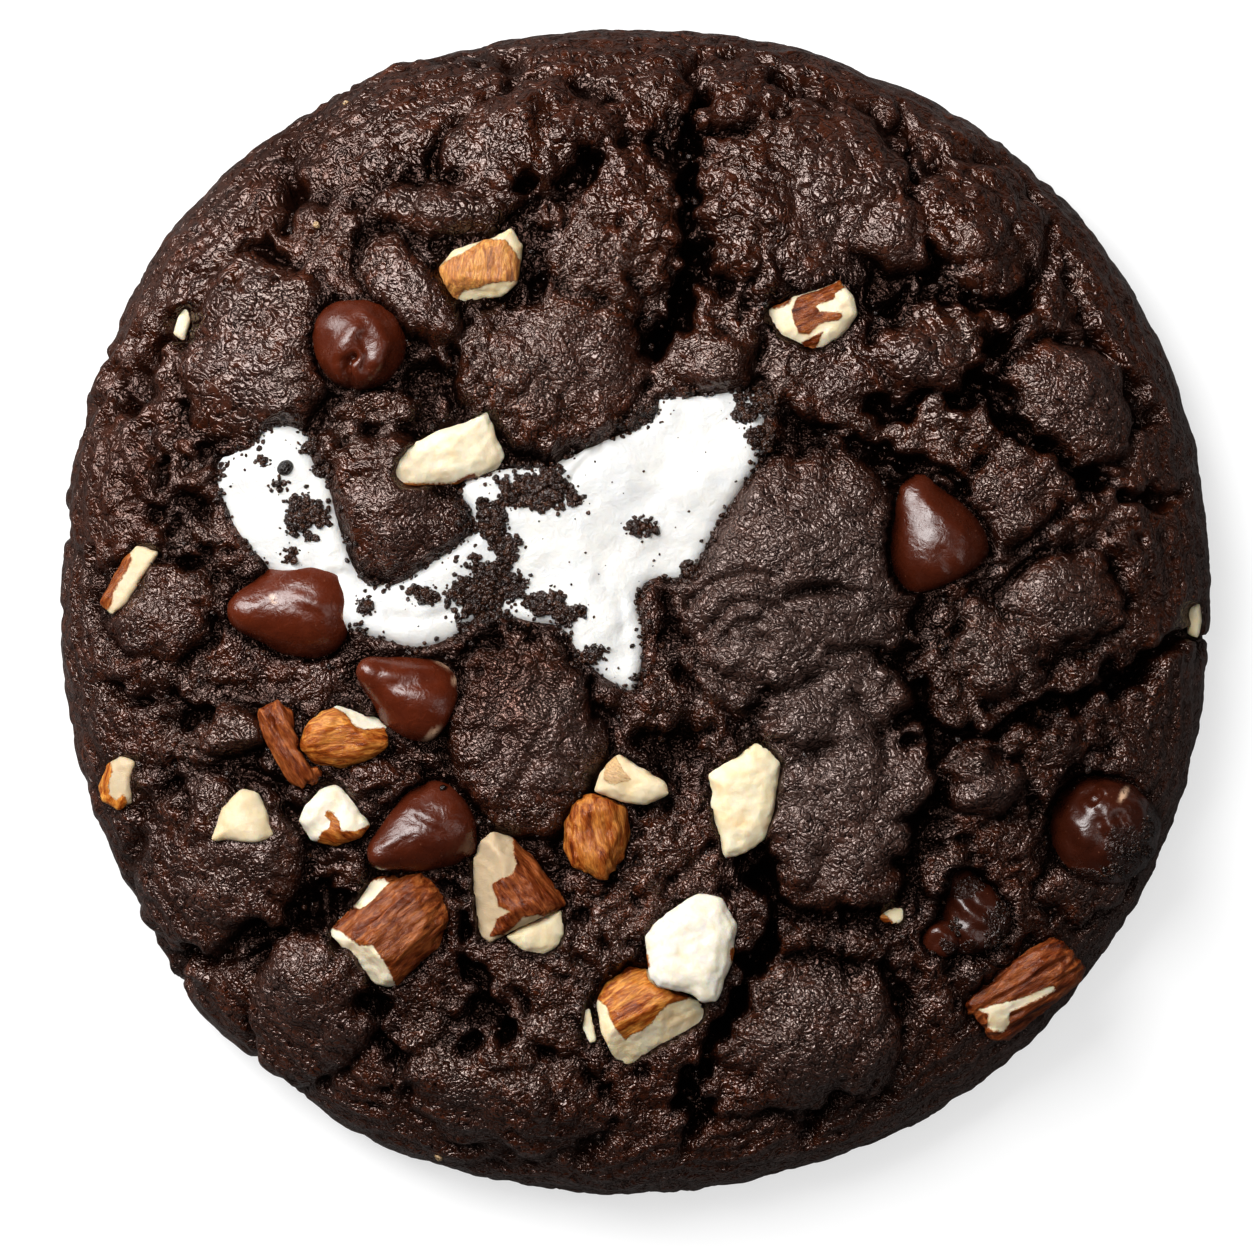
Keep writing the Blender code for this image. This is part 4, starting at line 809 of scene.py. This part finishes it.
def disc_place(u, v):
    """Where a place on a square net lies on a disc: its ring (0 to 1) and its angle."""
    sideways = np.abs(u) >= np.abs(v)
    signed = np.where(sideways, u, v)
    safe = np.where(signed == 0, 1.0, signed)
    eighth = math.pi / 4
    angle = np.where(sideways, eighth * v / safe, 2 * eighth - eighth * u / safe)
    return np.abs(signed), np.arctan2(signed * np.sin(angle), signed * np.cos(angle))


def lump_rise(x, y):
    """The highest of the lumps at each place, and how near the border of two lumps it is."""
    rise = np.zeros_like(x)
    second = np.full_like(x, -9.0)
    for centre_x, centre_y, half_length, half_width, turn, height in LUMPS:
        along, across = along_and_across(x, y, centre_x, centre_y, turn)
        here = height * (1 - np.hypot(along / half_length, across / half_width) ** 2.4)
        second = np.maximum(second, np.minimum(rise, here))
        rise = np.maximum(rise, here)
    return rise, np.exp(-((rise - second) / BORDER_SHARPNESS) ** 2) * np.clip(1.6 - second, 0.2, 1.0)


def crack_depth(x, y, ragged):
    """How far the open cracks and the round hollows sink below the surface."""
    depth = np.zeros_like(x)
    for deep, half_width, *points in CRACKS:
        nearest = from_line(x, y, points) / (half_width * CRACK_NARROWED * (1 + 1.6 * ragged))
        depth = np.maximum(depth, deep * (1 + ragged) * np.exp(-nearest ** 2))
    for centre_x, centre_y, radius, deep in PITS:
        gap = np.hypot(x - centre_x, y - centre_y) / (radius * (0.9 + 1.0 * ragged))
        depth = np.maximum(depth, deep * np.exp(-gap ** 2))
    return depth


def crease_depth(x, y):
    """The narrow folds of the skin, sharp in the middle."""
    depth = np.zeros_like(x)
    for deep, half_width, *points in CREASES:
        nearest = from_line(x, y, points) / half_width
        depth = np.maximum(depth, deep * np.exp(-nearest ** 1.3))
    return depth


def billowed(spots, width, seed):
    """Rounded swellings of about this width that meet in creases: 0 there, 1 on their tops."""
    return np.minimum(np.abs(soft_noise(spots, width, seed)) / 0.42, 1.0) ** 0.75


def blurred(grid, reach):
    """The grid averaged over a square of cells, twice."""
    for axis in (0, 1, 0, 1):
        border = [(0, 0), (0, 0)]
        border[axis] = (reach + 1, reach)
        total = np.cumsum(np.pad(grid, border, mode="edge"), axis=axis)
        span = 2 * reach + 1
        length = total.shape[axis]
        grid = (np.take(total, range(span, length), axis)
                - np.take(total, range(0, length - span), axis)) / span
    return grid


bm = bmesh.new()
bmesh.ops.create_grid(bm, x_segments=DOUGH_CELLS, y_segments=DOUGH_CELLS, size=1.0)
net = np.array(spots_of(bm))
row = np.rint((net[:, 0] + 1) / 2 * DOUGH_CELLS).astype(int)
column = np.rint((net[:, 1] + 1) / 2 * DOUGH_CELLS).astype(int)


def on_net(values):
    """Values of the vertices laid out as rows and columns of the net."""
    grid = np.zeros((DOUGH_CELLS + 1, DOUGH_CELLS + 1))
    grid[row, column] = values
    return grid


ring, angle = disc_place(net[:, 0], net[:, 1])
along, share, height = side_profile()
travel = np.interp(ring, (0.0, FINE_SHARE, 1.0), (0.0, FINE_TRAVEL, along[-1]))
rim = rim_radius(angle)
radius = np.interp(travel, along, share) * rim
z = np.interp(travel, along, height)
rise = np.interp(travel, along, np.gradient(height, along))
reach = np.interp(travel, along, np.gradient(share, along)) * rim
steepness = np.hypot(rise, reach)
x, y = radius * np.cos(angle), radius * np.sin(angle)
spots = [Vector(place) for place in zip(x, y, z)]

swayed = stirred(spots, 3.4, 1.5, 20)
swayed_x = np.array([spot.x for spot in swayed])
swayed_y = np.array([spot.y for spot in swayed])
ragged = soft_noise(spots, 2.0, 27)
lumps, borders = lump_rise(swayed_x, swayed_y)
borders = borders * (0.5 + 1.5 * np.clip(0.3 + ragged, 0.0, 1.0))
cracks = crack_depth(swayed_x, swayed_y, ragged)
banded = step_between(BAND_FROM, BAND_TO, np.hypot(x, y))
on_side = step_between(0.90, 1.0, np.hypot(x, y) / rim)
push = lumps * (1 - 0.5 * banded) - cracks - BORDER_DEPTH * borders
for seed, (width, rise_of_swell) in enumerate(SWELLS):
    push = push + rise_of_swell * (1 - 0.5 * banded) * soft_noise(spots, width, seed)
crumbly = step_between(-0.25, 0.45, soft_noise(spots, 15.0, 21) + 0.30 * np.minimum(cracks, 1.5)
                       + 0.30 * (1.3 - np.minimum(lumps, 2.6)))
folded = stirred(spots, 2.4, 1.3, 22)
creases = crease_depth(*np.array(stirred(spots, 1.5, 0.5, 28))[:, :2].T)
push = push - creases
for seed, (width, rise_of_billow, more, left) in enumerate(BILLOWS):
    calmed = rise_of_billow * (1 + more * (crumbly - 0.5)) * (1 - (1 - left) * banded)
    push = push + calmed * (1 - 0.5 * on_side) * billowed(folded, width, 30 + seed)
holes = step_between(*HOLE_STEP, soft_noise(folded, HOLE_WIDTH, 35)) * (0.06 + 0.94 * crumbly)
push = push - HOLE_DEPTH * holes * (1 - banded)
sway = 1.3 * soft_noise([Vector((math.cos(a) * 9, math.sin(a) * 9, t / 9))
                         for a, t in zip(angle, travel)], 1.0, 26)
bands = np.sin(2 * math.pi * (travel / BAND_WIDTH + sway))
push = push + BAND_RISE * banded * bands * (1 - 0.4 * on_side)
crumb_push = push.copy()
push = push * np.clip(z / WAIST_HEIGHT, 0.0, 1.0)
radius = radius - push * rise / steepness
z = np.maximum(z + push * reach / steepness, 0.0)
x, y = radius * np.cos(angle), radius * np.sin(angle)
x = (x - (x.min() + x.max()) / 2) * WIDTH_X / np.ptp(x)
y = (y - (y.min() + y.max()) / 2) * WIDTH_Y / np.ptp(y)

# the dough leaves room for each topping
SEAT_BELOW = 0.7                # the dough under a topping, below its top
SEAT_SLOPE = 2.6                # how steeply the dough rises away from a topping
SEAT_REACH = 2.2
SHELTER = 1.3                   # width of the painted shade round a topping
SEAT_DEEP = 2.0                 # how far below a topping's box the dough is still looked at
MOAT = 0.30                     # depth and width of the dark gap round a topping
SHORE_WAVES = (1.3, 0.35)       # width and depth of the small bays in the pool's shore
SHORE_WIDE = 3.0                # how far outside the pool the dough slopes down to it
SHORE_BELOW = 0.45              # the dough at the shore, below the pool's flat top
SHORE_UNDER, SHORE_UP = 1.3, 2.4        # slope of the dough under the pool and beside it
POOL_BED = 2.2                  # the dough under the pool, below its top
upper_side = (z > 3.0)
sheltered = np.zeros_like(z)    # 1 right beside a topping, where painted shade darkens the dough
shore_reach = inside_reach(x, y, pool_shore)
flat_spots = [Vector((px, py, 0.0)) for px, py in zip(x, y)]
shore_reach = shore_reach - SHORE_WAVES[1] * soft_noise(flat_spots, SHORE_WAVES[0], 30)
pool_top = dome(x, y) + POOL_PROUD
near_pool = (shore_reach > -SHORE_WIDE) & upper_side
limit = pool_top - SHORE_BELOW - np.where(shore_reach > 0, SHORE_UNDER, SHORE_UP) * shore_reach
limit = np.maximum(limit, pool_top - POOL_BED)
sunk = np.where(near_pool, np.maximum(z - limit, 0.0), 0.0)
z = z - sunk
for piece in toppings[1:]:
    corners = np.array(piece.bound_box) / MM
    box_low, box_high = corners.min(axis=0), corners.max(axis=0)
    shape = BVHTree.FromPolygons([vertex.co / MM for vertex in piece.data.vertices],
                                 [face.vertices for face in piece.data.polygons])
    close = np.nonzero((x > box_low[0] - SEAT_REACH) & (x < box_high[0] + SEAT_REACH)
                       & (y > box_low[1] - SEAT_REACH) & (y < box_high[1] + SEAT_REACH)
                       & (z > box_low[2] - SEAT_DEEP))[0]
    for index in close:
        spot = Vector((x[index], y[index], z[index]))
        over_topping = Vector((spot.x, spot.y, box_high[2] + 5.0))
        above = shape.ray_cast(over_topping, Vector((0, 0, -1)))[0]
        if above is not None:
            lowered = min(spot.z, above.z - SEAT_BELOW)
            sheltered[index] = 1.0
        else:
            nearest = shape.find_nearest(spot)[0]
            flat_gap = math.hypot(nearest.x - spot.x, nearest.y - spot.y)
            sheltered[index] = max(sheltered[index], 1 - flat_gap / SHELTER)
            lowered = min(spot.z, nearest.z + SEAT_SLOPE * flat_gap)
            gap = shape.find_nearest(Vector((spot.x, spot.y, lowered)))[3]
            if gap < 2 * MOAT:
                lowered -= MOAT * (1 - gap / (2 * MOAT)) ** 2
        sunk[index] += spot.z - lowered
        z[index] = lowered

z = np.where(sunk > 0.02, blurred(on_net(z), 1)[row, column], z)

# masks for the skin's colours: fine nooks, and hollows where painted shade darkens the dough
NOOK_CELLS, NOOK_DEPTH = 2, 0.30        # reach in cells of the net, and the depth of a full one
HOLLOW_CELLS, HOLLOW_DEPTH = 8, 1.3
HOLLOW_SPREAD = 4               # cells over which the painted shade spreads out of the hollows
relief = on_net(crumb_push)
nook = (blurred(relief, NOOK_CELLS) - relief)[row, column]
hollow_shade = (blurred(relief, HOLLOW_CELLS) - relief)[row, column]
nook = np.clip(nook / NOOK_DEPTH, -1.0, 1.0) * 0.5 + 0.5
hollow_shade = np.clip(hollow_shade / HOLLOW_DEPTH + 0.45 * holes + 0.3 * borders
                 + 0.25 * np.clip(cracks - 0.5, 0.0, 2.0)
                 + 0.8 * sheltered + 0.25 * np.minimum(sunk, 1.5), 0.0, 1.0)
spread_out = blurred(on_net(hollow_shade), HOLLOW_SPREAD)[row, column]
hollow_shade = np.clip(0.70 * hollow_shade + 0.55 * spread_out, 0.0, 1.0) * (1 - 0.5 * banded)

for vertex, place_on_cookie in zip(bm.verts, zip(x, y, z)):
    vertex.co = place_on_cookie
bmesh.ops.edgeloop_fill(bm, edges=[edge for edge in bm.edges if edge.is_boundary])
bmesh.ops.recalc_face_normals(bm, faces=bm.faces)

dough_skin, tree, shader, place = new_material(
    "baked_dough", Specular_IOR_Level=0.57, IOR=1.8, Specular_Tint=(1.0, 0.84, 0.78, 1.0))
broad = noise_at(tree, place, 0.07, 3.0, 0.55, 0.5)
mottle = noise_at(tree, place, 0.40, 4.0, 0.62, 0.8)
base = ramp(tree, broad, (0.36, (0.030, 0.0075, 0.0028)), (0.62, (0.048, 0.0120, 0.0042)))
base = blend_colours(tree, ramp(tree, mottle, (0.50, 0.0), (0.72, 1.0)), base, (0.100, 0.0245, 0.0078))
base = blend_colours(tree, ramp(tree, attribute(tree, "nook"), (0.55, 0.0), (0.85, 0.75)), base,
                     (0.052, 0.014, 0.0048))
# painted sheen: calm lumps get a greyer, lighter base that stands in for the soft reflection of the lamps
calm_sheen = attribute(tree, "calm_sheen")
base = blend_colours(tree, maths(tree, "MULTIPLY", calm_sheen, 0.8), base, (0.078, 0.049, 0.041))
# painted shade: hollows, cracks, lump borders and the dough beside the toppings go nearly black
base = blend_colours(tree, ramp(tree, attribute(tree, "hollow_shade"), (0.15, 0.0), (0.75, 0.92)), base,
                     (0.0100, 0.0034, 0.0018))
specks = add_node(tree, "TexVoronoi", {"Vector": place, "Scale": 0.62})
speck = maths(tree, "MULTIPLY", ramp(tree, specks.outputs["Distance"], (0.06, 1.0), (0.09, 0.0)),
              ramp(tree, specks.outputs["Color"], (0.72, 0.0), (0.76, 0.8)))
base = blend_colours(tree, speck, base, (0.20, 0.07, 0.03))
glossy = attribute(tree, "glossy")
height, crease_shade = crinkles(tree, place, 1.06, 1.0, 0.5)
wide_height, wide_crease_shade = crinkles(tree, place, 0.64, 1.1, 0.5)
height = blend_colours(tree, glossy, height, maths(tree, "MULTIPLY", wide_height, 1.4))
crease_shade = blend_colours(tree, glossy, crease_shade, wide_crease_shade)
# painted shade: the fine creases of the skin darkened
base = blend_colours(tree, crease_shade, base, (0.012, 0.0030, 0.0012))
tree.links.new(base, shader.inputs["Base Color"])
wet = noise_at(tree, place, 0.16, 3.0, 0.6)
tree.links.new(ramp(tree, wet, (0.35, 0.27), (0.60, 0.19)), shader.inputs["Roughness"])
deep = maths(tree, "MAXIMUM", ramp(tree, attribute(tree, "hollow_shade"), (0.16, 0.0), (0.78, 0.84)),
             ramp(tree, crease_shade, (0.20, 0.0), (1.0, 0.75)))
deep = maths(tree, "MAXIMUM", deep, attribute(tree, "painted_dim"))
tree.links.new(deep, shader.inputs["Metallic"])  # not metal: painted shade that makes the hollows, the creases and the dimmed spots dark and takes away their shine
tree.links.new(bump(tree, height, 1.0, 0.12), shader.inputs["Normal"])

# more masks: where calm skin gets a painted sheen, where it shines in wide folds, and where painted shade
# dims the shine
BIG_LUMP, BIG_LUMP_REACH = (18.0, -6.0), 15.0   # the smooth lump right of the middle
GLOSSY_PATCH, GLOSSY_SLOPE = 12.0, 0.013        # width of the glossy patches; more up the page
big_lump = np.exp(-((x - BIG_LUMP[0]) ** 2 + (y - BIG_LUMP[1]) ** 2) / (2 * BIG_LUMP_REACH ** 2))
calm_sheen = step_between(0.25, 1.0, np.clip(1 - crumbly, 0.0, 1.0) * np.clip(lumps / 2.0, 0.0, 1.0))
calm_sheen = np.clip(0.35 * calm_sheen + 0.75 * big_lump * np.clip(lumps / 1.5, 0.0, 1.0), 0.0, 1.0)
glossy = 0.8 * step_between(0.0, 0.7, 0.15 + GLOSSY_SLOPE * y
                            + 0.8 * soft_noise(spots, GLOSSY_PATCH, 37) - 0.8 * big_lump)
PAINTED_DIM = (                        # painted shade that dims the shine of some lumps: x, y, reach, share of the shine lost
    (-13.8, -7.6, 7.5, 0.52), (-4.6, -10.5, 6.0, 0.32), (-49.5, 13.2, 7.0, 0.40),
    (-33.5, 45.2, 8.0, 0.30),
)
painted_dim = np.max([share_lost * np.exp(-((x - spot_x) ** 2 + (y - spot_y) ** 2) / dim_reach ** 2)
               for spot_x, spot_y, dim_reach, share_lost in PAINTED_DIM], axis=0)
dough = add_piece("baked_dough", bm, dough_skin, {
    "nook": nook, "hollow_shade": hollow_shade, "calm_sheen": calm_sheen, "glossy": glossy, "painted_dim": painted_dim})
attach(dough, "root")
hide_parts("dough")


# ---------------------------------------------------------------- crumbs
# Loose bits of the same dough: crumbs that stuck to the marshmallow in clusters and along its
# shore, grains that lie in the cracks and round the toppings, and dough smeared on the dark
# chips. Three pale bits of nut dust lie among them.
random.seed(5)
PATCHES = (                     # x, y, half length, half width, turn of the ragged patches
    (-9.8, 12.0, 4.1, 1.8, -5), (-8.6, 13.6, 1.3, 1.2, 0), (-14.0, 9.2, 1.5, 2.6, 0),
    (-13.0, 6.8, 1.7, 1.6, 0), (-14.9, 3.2, 2.4, 2.2, 0), (-12.6, 2.4, 2.0, 1.5, 0),
    (-15.9, 1.4, 2.6, 2.4, 0), (-8.2, 0.6, 2.9, 1.3, -18), (-4.6, -4.3, 1.5, 0.7, 20),
    (0.7, 8.4, 1.25, 1.0, -10), (10.7, 20.1, 1.0, 1.4, 0), (12.5, 17.6, 1.3, 1.5, 0),
    (12.9, 20.9, 1.4, 1.2, 0), (5.3, 4.2, 0.9, 0.8, 0), (0.3, 19.4, 2.2, 0.9, 30),
    (-33.1, 9.6, 2.1, 2.0, 30), (-35.6, 12.7, 0.9, 0.6, 10), (-34.4, 5.6, 0.8, 0.6, 20),
    (-27.1, 0.6, 0.7, 0.8, 0), (-21.0, 1.6, 1.6, 0.8, -10), (-31.5, 14.2, 0.8, 0.5, 0),
    (-32.6, 16.4, 1.0, 0.5, 40), (-37.2, 15.0, 0.6, 0.4, 0), (-16.8, 9.0, 1.3, 0.8, -40),
)
PATCH_STEP = 0.40
PATCH_EDGES = ((1.5, 0.70), (0.6, 0.45))        # width and depth of the bays in their edges
ROUND_PATCHES = 260
ON_SHORE = 520
SHORE_STRAY = 0.35
SPRINKLED = 190
SPRINKLED_WIDE, SPRINKLED_HIGH = (-42, 13), (-8, 22)    # the box that they fall in
DROP_FROM = 60.0                # a height well above the cookie
IN_CRACKS = 1300
CRACK_HOLLOW = 0.35             # how deep in a hollow a grain has to lie
CRACKS_WITHIN, CRACKS_ABOVE = 54.0, 5.0         # no grains on the side or under the cookie


def surface_of(*pieces):
    """A tree of the pieces' faces, to drop crumbs on, in millimetres."""
    places, faces = [], []
    for piece in pieces:
        start = len(places)
        places += [vertex.co / MM for vertex in piece.data.vertices]
        faces += [[start + index for index in face.vertices] for face in piece.data.polygons]
    return BVHTree.FromPolygons(places, faces)


def add_crumb(bm, tones, centre, size, tone, bits=1, uneven=0.25):
    """A small uneven lump, and its tone from dark to light for each of its corners."""
    turn = Matrix.Rotation(random.uniform(0, 6.3), 4, Vector([random.gauss(0, 1) for _ in range(3)]))
    stretch = Matrix.Diagonal((random.uniform(0.8, 1.3), random.uniform(0.7, 1.1),
                               random.uniform(0.6, 0.9), 1))
    lump = bmesh.ops.create_icosphere(bm, subdivisions=bits, radius=size,
                                      matrix=Matrix.Translation(centre) @ turn @ stretch)
    for vertex in lump["verts"]:
        vertex.co += (vertex.co - centre) * random.uniform(-uneven, uneven)
    tones += [tone] * len(lump["verts"])


def patch_share(x, y):
    """How far inside a patch each place lies: 1 in its middle, below 0 outside them all."""
    share = np.full(np.shape(x), -9.0)
    for centre_x, centre_y, half_length, half_width, turn in PATCHES:
        along, across = along_and_across(x, y, centre_x, centre_y, turn)
        share = np.maximum(share, 1 - np.hypot(along / half_length, across / half_width))
    return share


pool_surface = surface_of(marshmallow)
on_pool = bmesh.new()
DOWN = Vector((0, 0, -1))


def drop_on(surface, x, y):
    """The place where something dropped at x, y comes to rest, or None."""
    return surface.ray_cast(Vector((x, y, DROP_FROM)), DOWN)[0]


cookie_surface = surface_of(marshmallow, dough)
pool_tones = []
grid_x, grid_y = (grid.ravel() for grid in np.meshgrid(
    np.arange(shore_low[0], shore_high[0] + 2, PATCH_STEP),
    np.arange(shore_low[1], shore_high[1] + 2, PATCH_STEP)))
grid_places = [Vector((px, py, 0.0)) for px, py in zip(grid_x, grid_y)]
share = patch_share(grid_x, grid_y)
for seed, (width, depth) in enumerate(PATCH_EDGES):
    share = share + depth * soft_noise(grid_places, width, 70 + seed)
for spot, inside in zip(grid_places, share):
    if inside > 0.0:
        spot_x = spot.x + random.uniform(-0.15, 0.15)
        spot_y = spot.y + random.uniform(-0.15, 0.15)
        place_on_top = drop_on(cookie_surface, spot_x, spot_y)
        if place_on_top is not None:
            size = random.uniform(0.24, 0.42) + 0.45 * min(max(inside - 0.08, 0.0), 0.7)
            heap = 0.30 * min(inside, 0.6) - 0.4 * (size - 0.3) + random.uniform(-0.05, 0.12)
            add_crumb(on_pool, pool_tones, place_on_top + Vector((0, 0, heap)), size,
                      random.uniform(0.05, 0.50))
for _ in range(ROUND_PATCHES):
    centre_x, centre_y, half_length, half_width, _ = random.choice(PATCHES)
    spread = 1 + abs(random.gauss(0, 0.35))
    way = random.uniform(0, 2 * math.pi)
    place_on_top = drop_on(pool_surface, centre_x + spread * half_length * math.cos(way),
                           centre_y + spread * half_width * math.sin(way))
    if place_on_top is not None:
        add_crumb(on_pool, pool_tones, place_on_top, random.choice((0.1, 0.14, 0.18, 0.26)),
                  random.uniform(0.2, 0.6))
for _ in range(ON_SHORE):
    start = random.randrange(len(pool_shore))
    spot = pool_shore[start].lerp(pool_shore[(start + 1) % len(pool_shore)], random.random())
    place_on_top = drop_on(cookie_surface, spot.x + random.gauss(0, SHORE_STRAY),
                           spot.y + random.gauss(0, SHORE_STRAY))
    if place_on_top is not None:
        add_crumb(on_pool, pool_tones, place_on_top, random.uniform(0.15, 0.42),
                  random.uniform(0.0, 0.5))
for _ in range(SPRINKLED):
    spot_x, spot_y = random.uniform(*SPRINKLED_WIDE), random.uniform(*SPRINKLED_HIGH)
    place_on_top = drop_on(pool_surface, spot_x, spot_y)
    if place_on_top is not None:
        add_crumb(on_pool, pool_tones, place_on_top, random.choice((0.06, 0.08, 0.1, 0.16)),
                  random.uniform(0.2, 0.6))
DARK_FLAKE = (-35.0, 14.4)      # a smooth dark flake on the left arm
place_on_top = drop_on(pool_surface, *DARK_FLAKE)
add_crumb(on_pool, pool_tones, place_on_top - Vector((0, 0, 0.25)), 1.15, -0.3, 3, 0.02)
crumb_dough, tree, shader, place = new_material(
    "crumb_dough", Specular_IOR_Level=0.5, IOR=1.7, Roughness=0.22)
tone = maths(tree, "ADD", attribute(tree, "tone"),
             maths(tree, "MULTIPLY", noise_at(tree, place, 1.4, 3.0, 0.6), 0.4))
colour = ramp(tree, tone, (0.05, (0.010, 0.004, 0.002)), (0.45, (0.040, 0.0145, 0.0070)),
              (0.80, (0.085, 0.030, 0.012)), (0.94, (0.17, 0.060, 0.022)), (1.0, (0.66, 0.45, 0.25)))
height, crease_shade = crinkles(tree, place, 1.6, 0.8, 0.6)
# painted shade: the fine creases of the crumbs darkened
colour = blend_colours(tree, crease_shade, colour, (0.010, 0.003, 0.0015))
tree.links.new(colour, shader.inputs["Base Color"])
tree.links.new(bump(tree, height, 1.0, 0.10), shader.inputs["Normal"])
crumbs = add_piece("crumbs_on_marshmallow", on_pool, crumb_dough, {"tone": np.array(pool_tones)})
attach(crumbs, "root")

in_cracks = bmesh.new()
crack_tones = []
candidates = np.nonzero((hollow_shade > CRACK_HOLLOW) & (np.hypot(x, y) < CRACKS_WITHIN)
                        & (z > CRACKS_ABOVE) & (shore_reach < -0.3))[0]
for index in random.sample(list(candidates), min(IN_CRACKS, len(candidates))):
    spot = Vector((x[index] + random.gauss(0, 0.3), y[index] + random.gauss(0, 0.3), z[index]))
    size = 0.16 + 0.34 * random.random() ** 2.5
    add_crumb(in_cracks, crack_tones, spot - Vector((0, 0, 0.3 * size)), size,
              random.uniform(-0.1, 0.45))
SMEARS = (                      # x, y, half length, half width of dough smeared on the dark chips
    (50.0, -24.0, 1.5, 1.1), (47.6, -25.9, 1.6, 0.7), (51.2, -21.6, 0.7, 1.2),
    (35.8, -32.8, 1.2, 1.0), (36.6, -29.6, 0.7, 1.2), (32.0, -31.4, 0.6, 0.9),
)
SMEAR_CRUMBS, SMEAR_LEAST = 26, 10      # crumbs for each unit of a smear's size, and besides
topped_surface = surface_of(dough, *toppings)
for centre_x, centre_y, half_length, half_width in SMEARS:
    for _ in range(int(SMEAR_CRUMBS * half_length * half_width) + SMEAR_LEAST):
        way, far = random.uniform(0, 2 * math.pi), math.sqrt(random.random())
        spot = drop_on(topped_surface, centre_x + half_length * far * math.cos(way),
                       centre_y + half_width * far * math.sin(way))
        if spot is not None:
            add_crumb(in_cracks, crack_tones, spot - Vector((0, 0, 0.1)), random.uniform(0.18, 0.42),
                      random.uniform(0.0, 0.45))
NUT_DUST = (                    # pale bits: x, y, size
    (-19.7, -54.6, 0.55), (-29.0, 51.0, 0.42), (-31.9, 38.7, 0.50),
)
PALE_TONE = 1.5
for bit_x, bit_y, size in NUT_DUST:
    spot = drop_on(topped_surface, bit_x, bit_y)
    if spot is not None:
        add_crumb(in_cracks, crack_tones, spot, size, PALE_TONE)
crumbs = add_piece("crumbs_in_cracks", in_cracks, crumb_dough, {"tone": np.array(crack_tones)})
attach(crumbs, "root")


# ---------------------------------------------------------------- table, lights and camera
# A white table under a large soft lamp at the upper left, seen from straight above through
# a long lens, as the photograph is.
TABLE_HALF = 1500.0
bm = bmesh.new()
bmesh.ops.create_grid(bm, x_segments=1, y_segments=1, size=TABLE_HALF)
table_white, tree, shader, place = new_material("table_white", Roughness=0.7, Specular_IOR_Level=0.2)
seen = add_node(tree, "LightPath").outputs["Is Camera Ray"]
colour = ramp(tree, noise_at(tree, place, 0.02), (0.3, 0.41), (0.7, 0.43))
colour = blend_colours(tree, seen, (0.22, 0.22, 0.22), colour)
tree.links.new(colour, shader.inputs["Base Color"])
shader.inputs["Emission Color"].default_value = (1.0, 1.0, 1.0, 1.0)
glow = maths(tree, "ADD", 0.02, maths(tree, "MULTIPLY", seen, 0.56))
tree.links.new(glow, shader.inputs["Emission Strength"])
table = add_piece("table", bm, table_white)

VIEW_WIDTH = 125.4              # of the photograph's frame, at the cookie
VIEW_MIDDLE = (-0.85, -1.5)
VIEW_LEVEL = 14.0               # height at which that width is measured
VIEW_FROM = 2600.0              # height of the lens
SENSOR_WIDTH = 36.0
camera = bpy.data.objects.new("camera", bpy.data.cameras.new("camera"))
bpy.context.scene.collection.objects.link(camera)
camera.location = (VIEW_MIDDLE[0] * MM, VIEW_MIDDLE[1] * MM, VIEW_FROM * MM)
camera.data.sensor_width = SENSOR_WIDTH
camera.data.sensor_fit = "HORIZONTAL"
camera.data.lens = SENSOR_WIDTH * (VIEW_FROM - VIEW_LEVEL) / VIEW_WIDTH
camera.data.clip_end = 20.0
bpy.context.scene.camera = camera

LAMPS = {                       # direction, distance and size in metres, watts
    "window": ((-0.42, 0.45, 0.94), 0.62, 0.36, 3.3),
    "low_window": ((-0.80, 0.62, 0.50), 0.60, 0.30, 1.5),
    "skylight": ((-0.10, 0.15, 0.98), 0.90, 0.36, 1.0),
    "fill": ((0.7, -0.2, 0.8), 0.8, 0.35, 0.45),
}
for name, (way, distance, size, watts) in LAMPS.items():
    lamp = bpy.data.objects.new(name, bpy.data.lights.new(name, "AREA"))
    lamp.data.size = size
    lamp.data.energy = watts
    lamp.location = Vector(way).normalized() * distance
    lamp.rotation_euler = Vector(way).to_track_quat("Z", "Y").to_euler()
    bpy.context.scene.collection.objects.link(lamp)
ROOM_LIGHT = 0.025
world = bpy.data.worlds.new("studio")
bpy.context.scene.world = world
world.use_nodes = True
world.node_tree.nodes["Background"].inputs["Color"].default_value = (1.0, 1.0, 1.0, 1.0)
world.node_tree.nodes["Background"].inputs["Strength"].default_value = ROOM_LIGHT
bpy.context.scene.view_settings.view_transform = "Standard"
bpy.context.scene.view_settings.look = "Medium High Contrast"
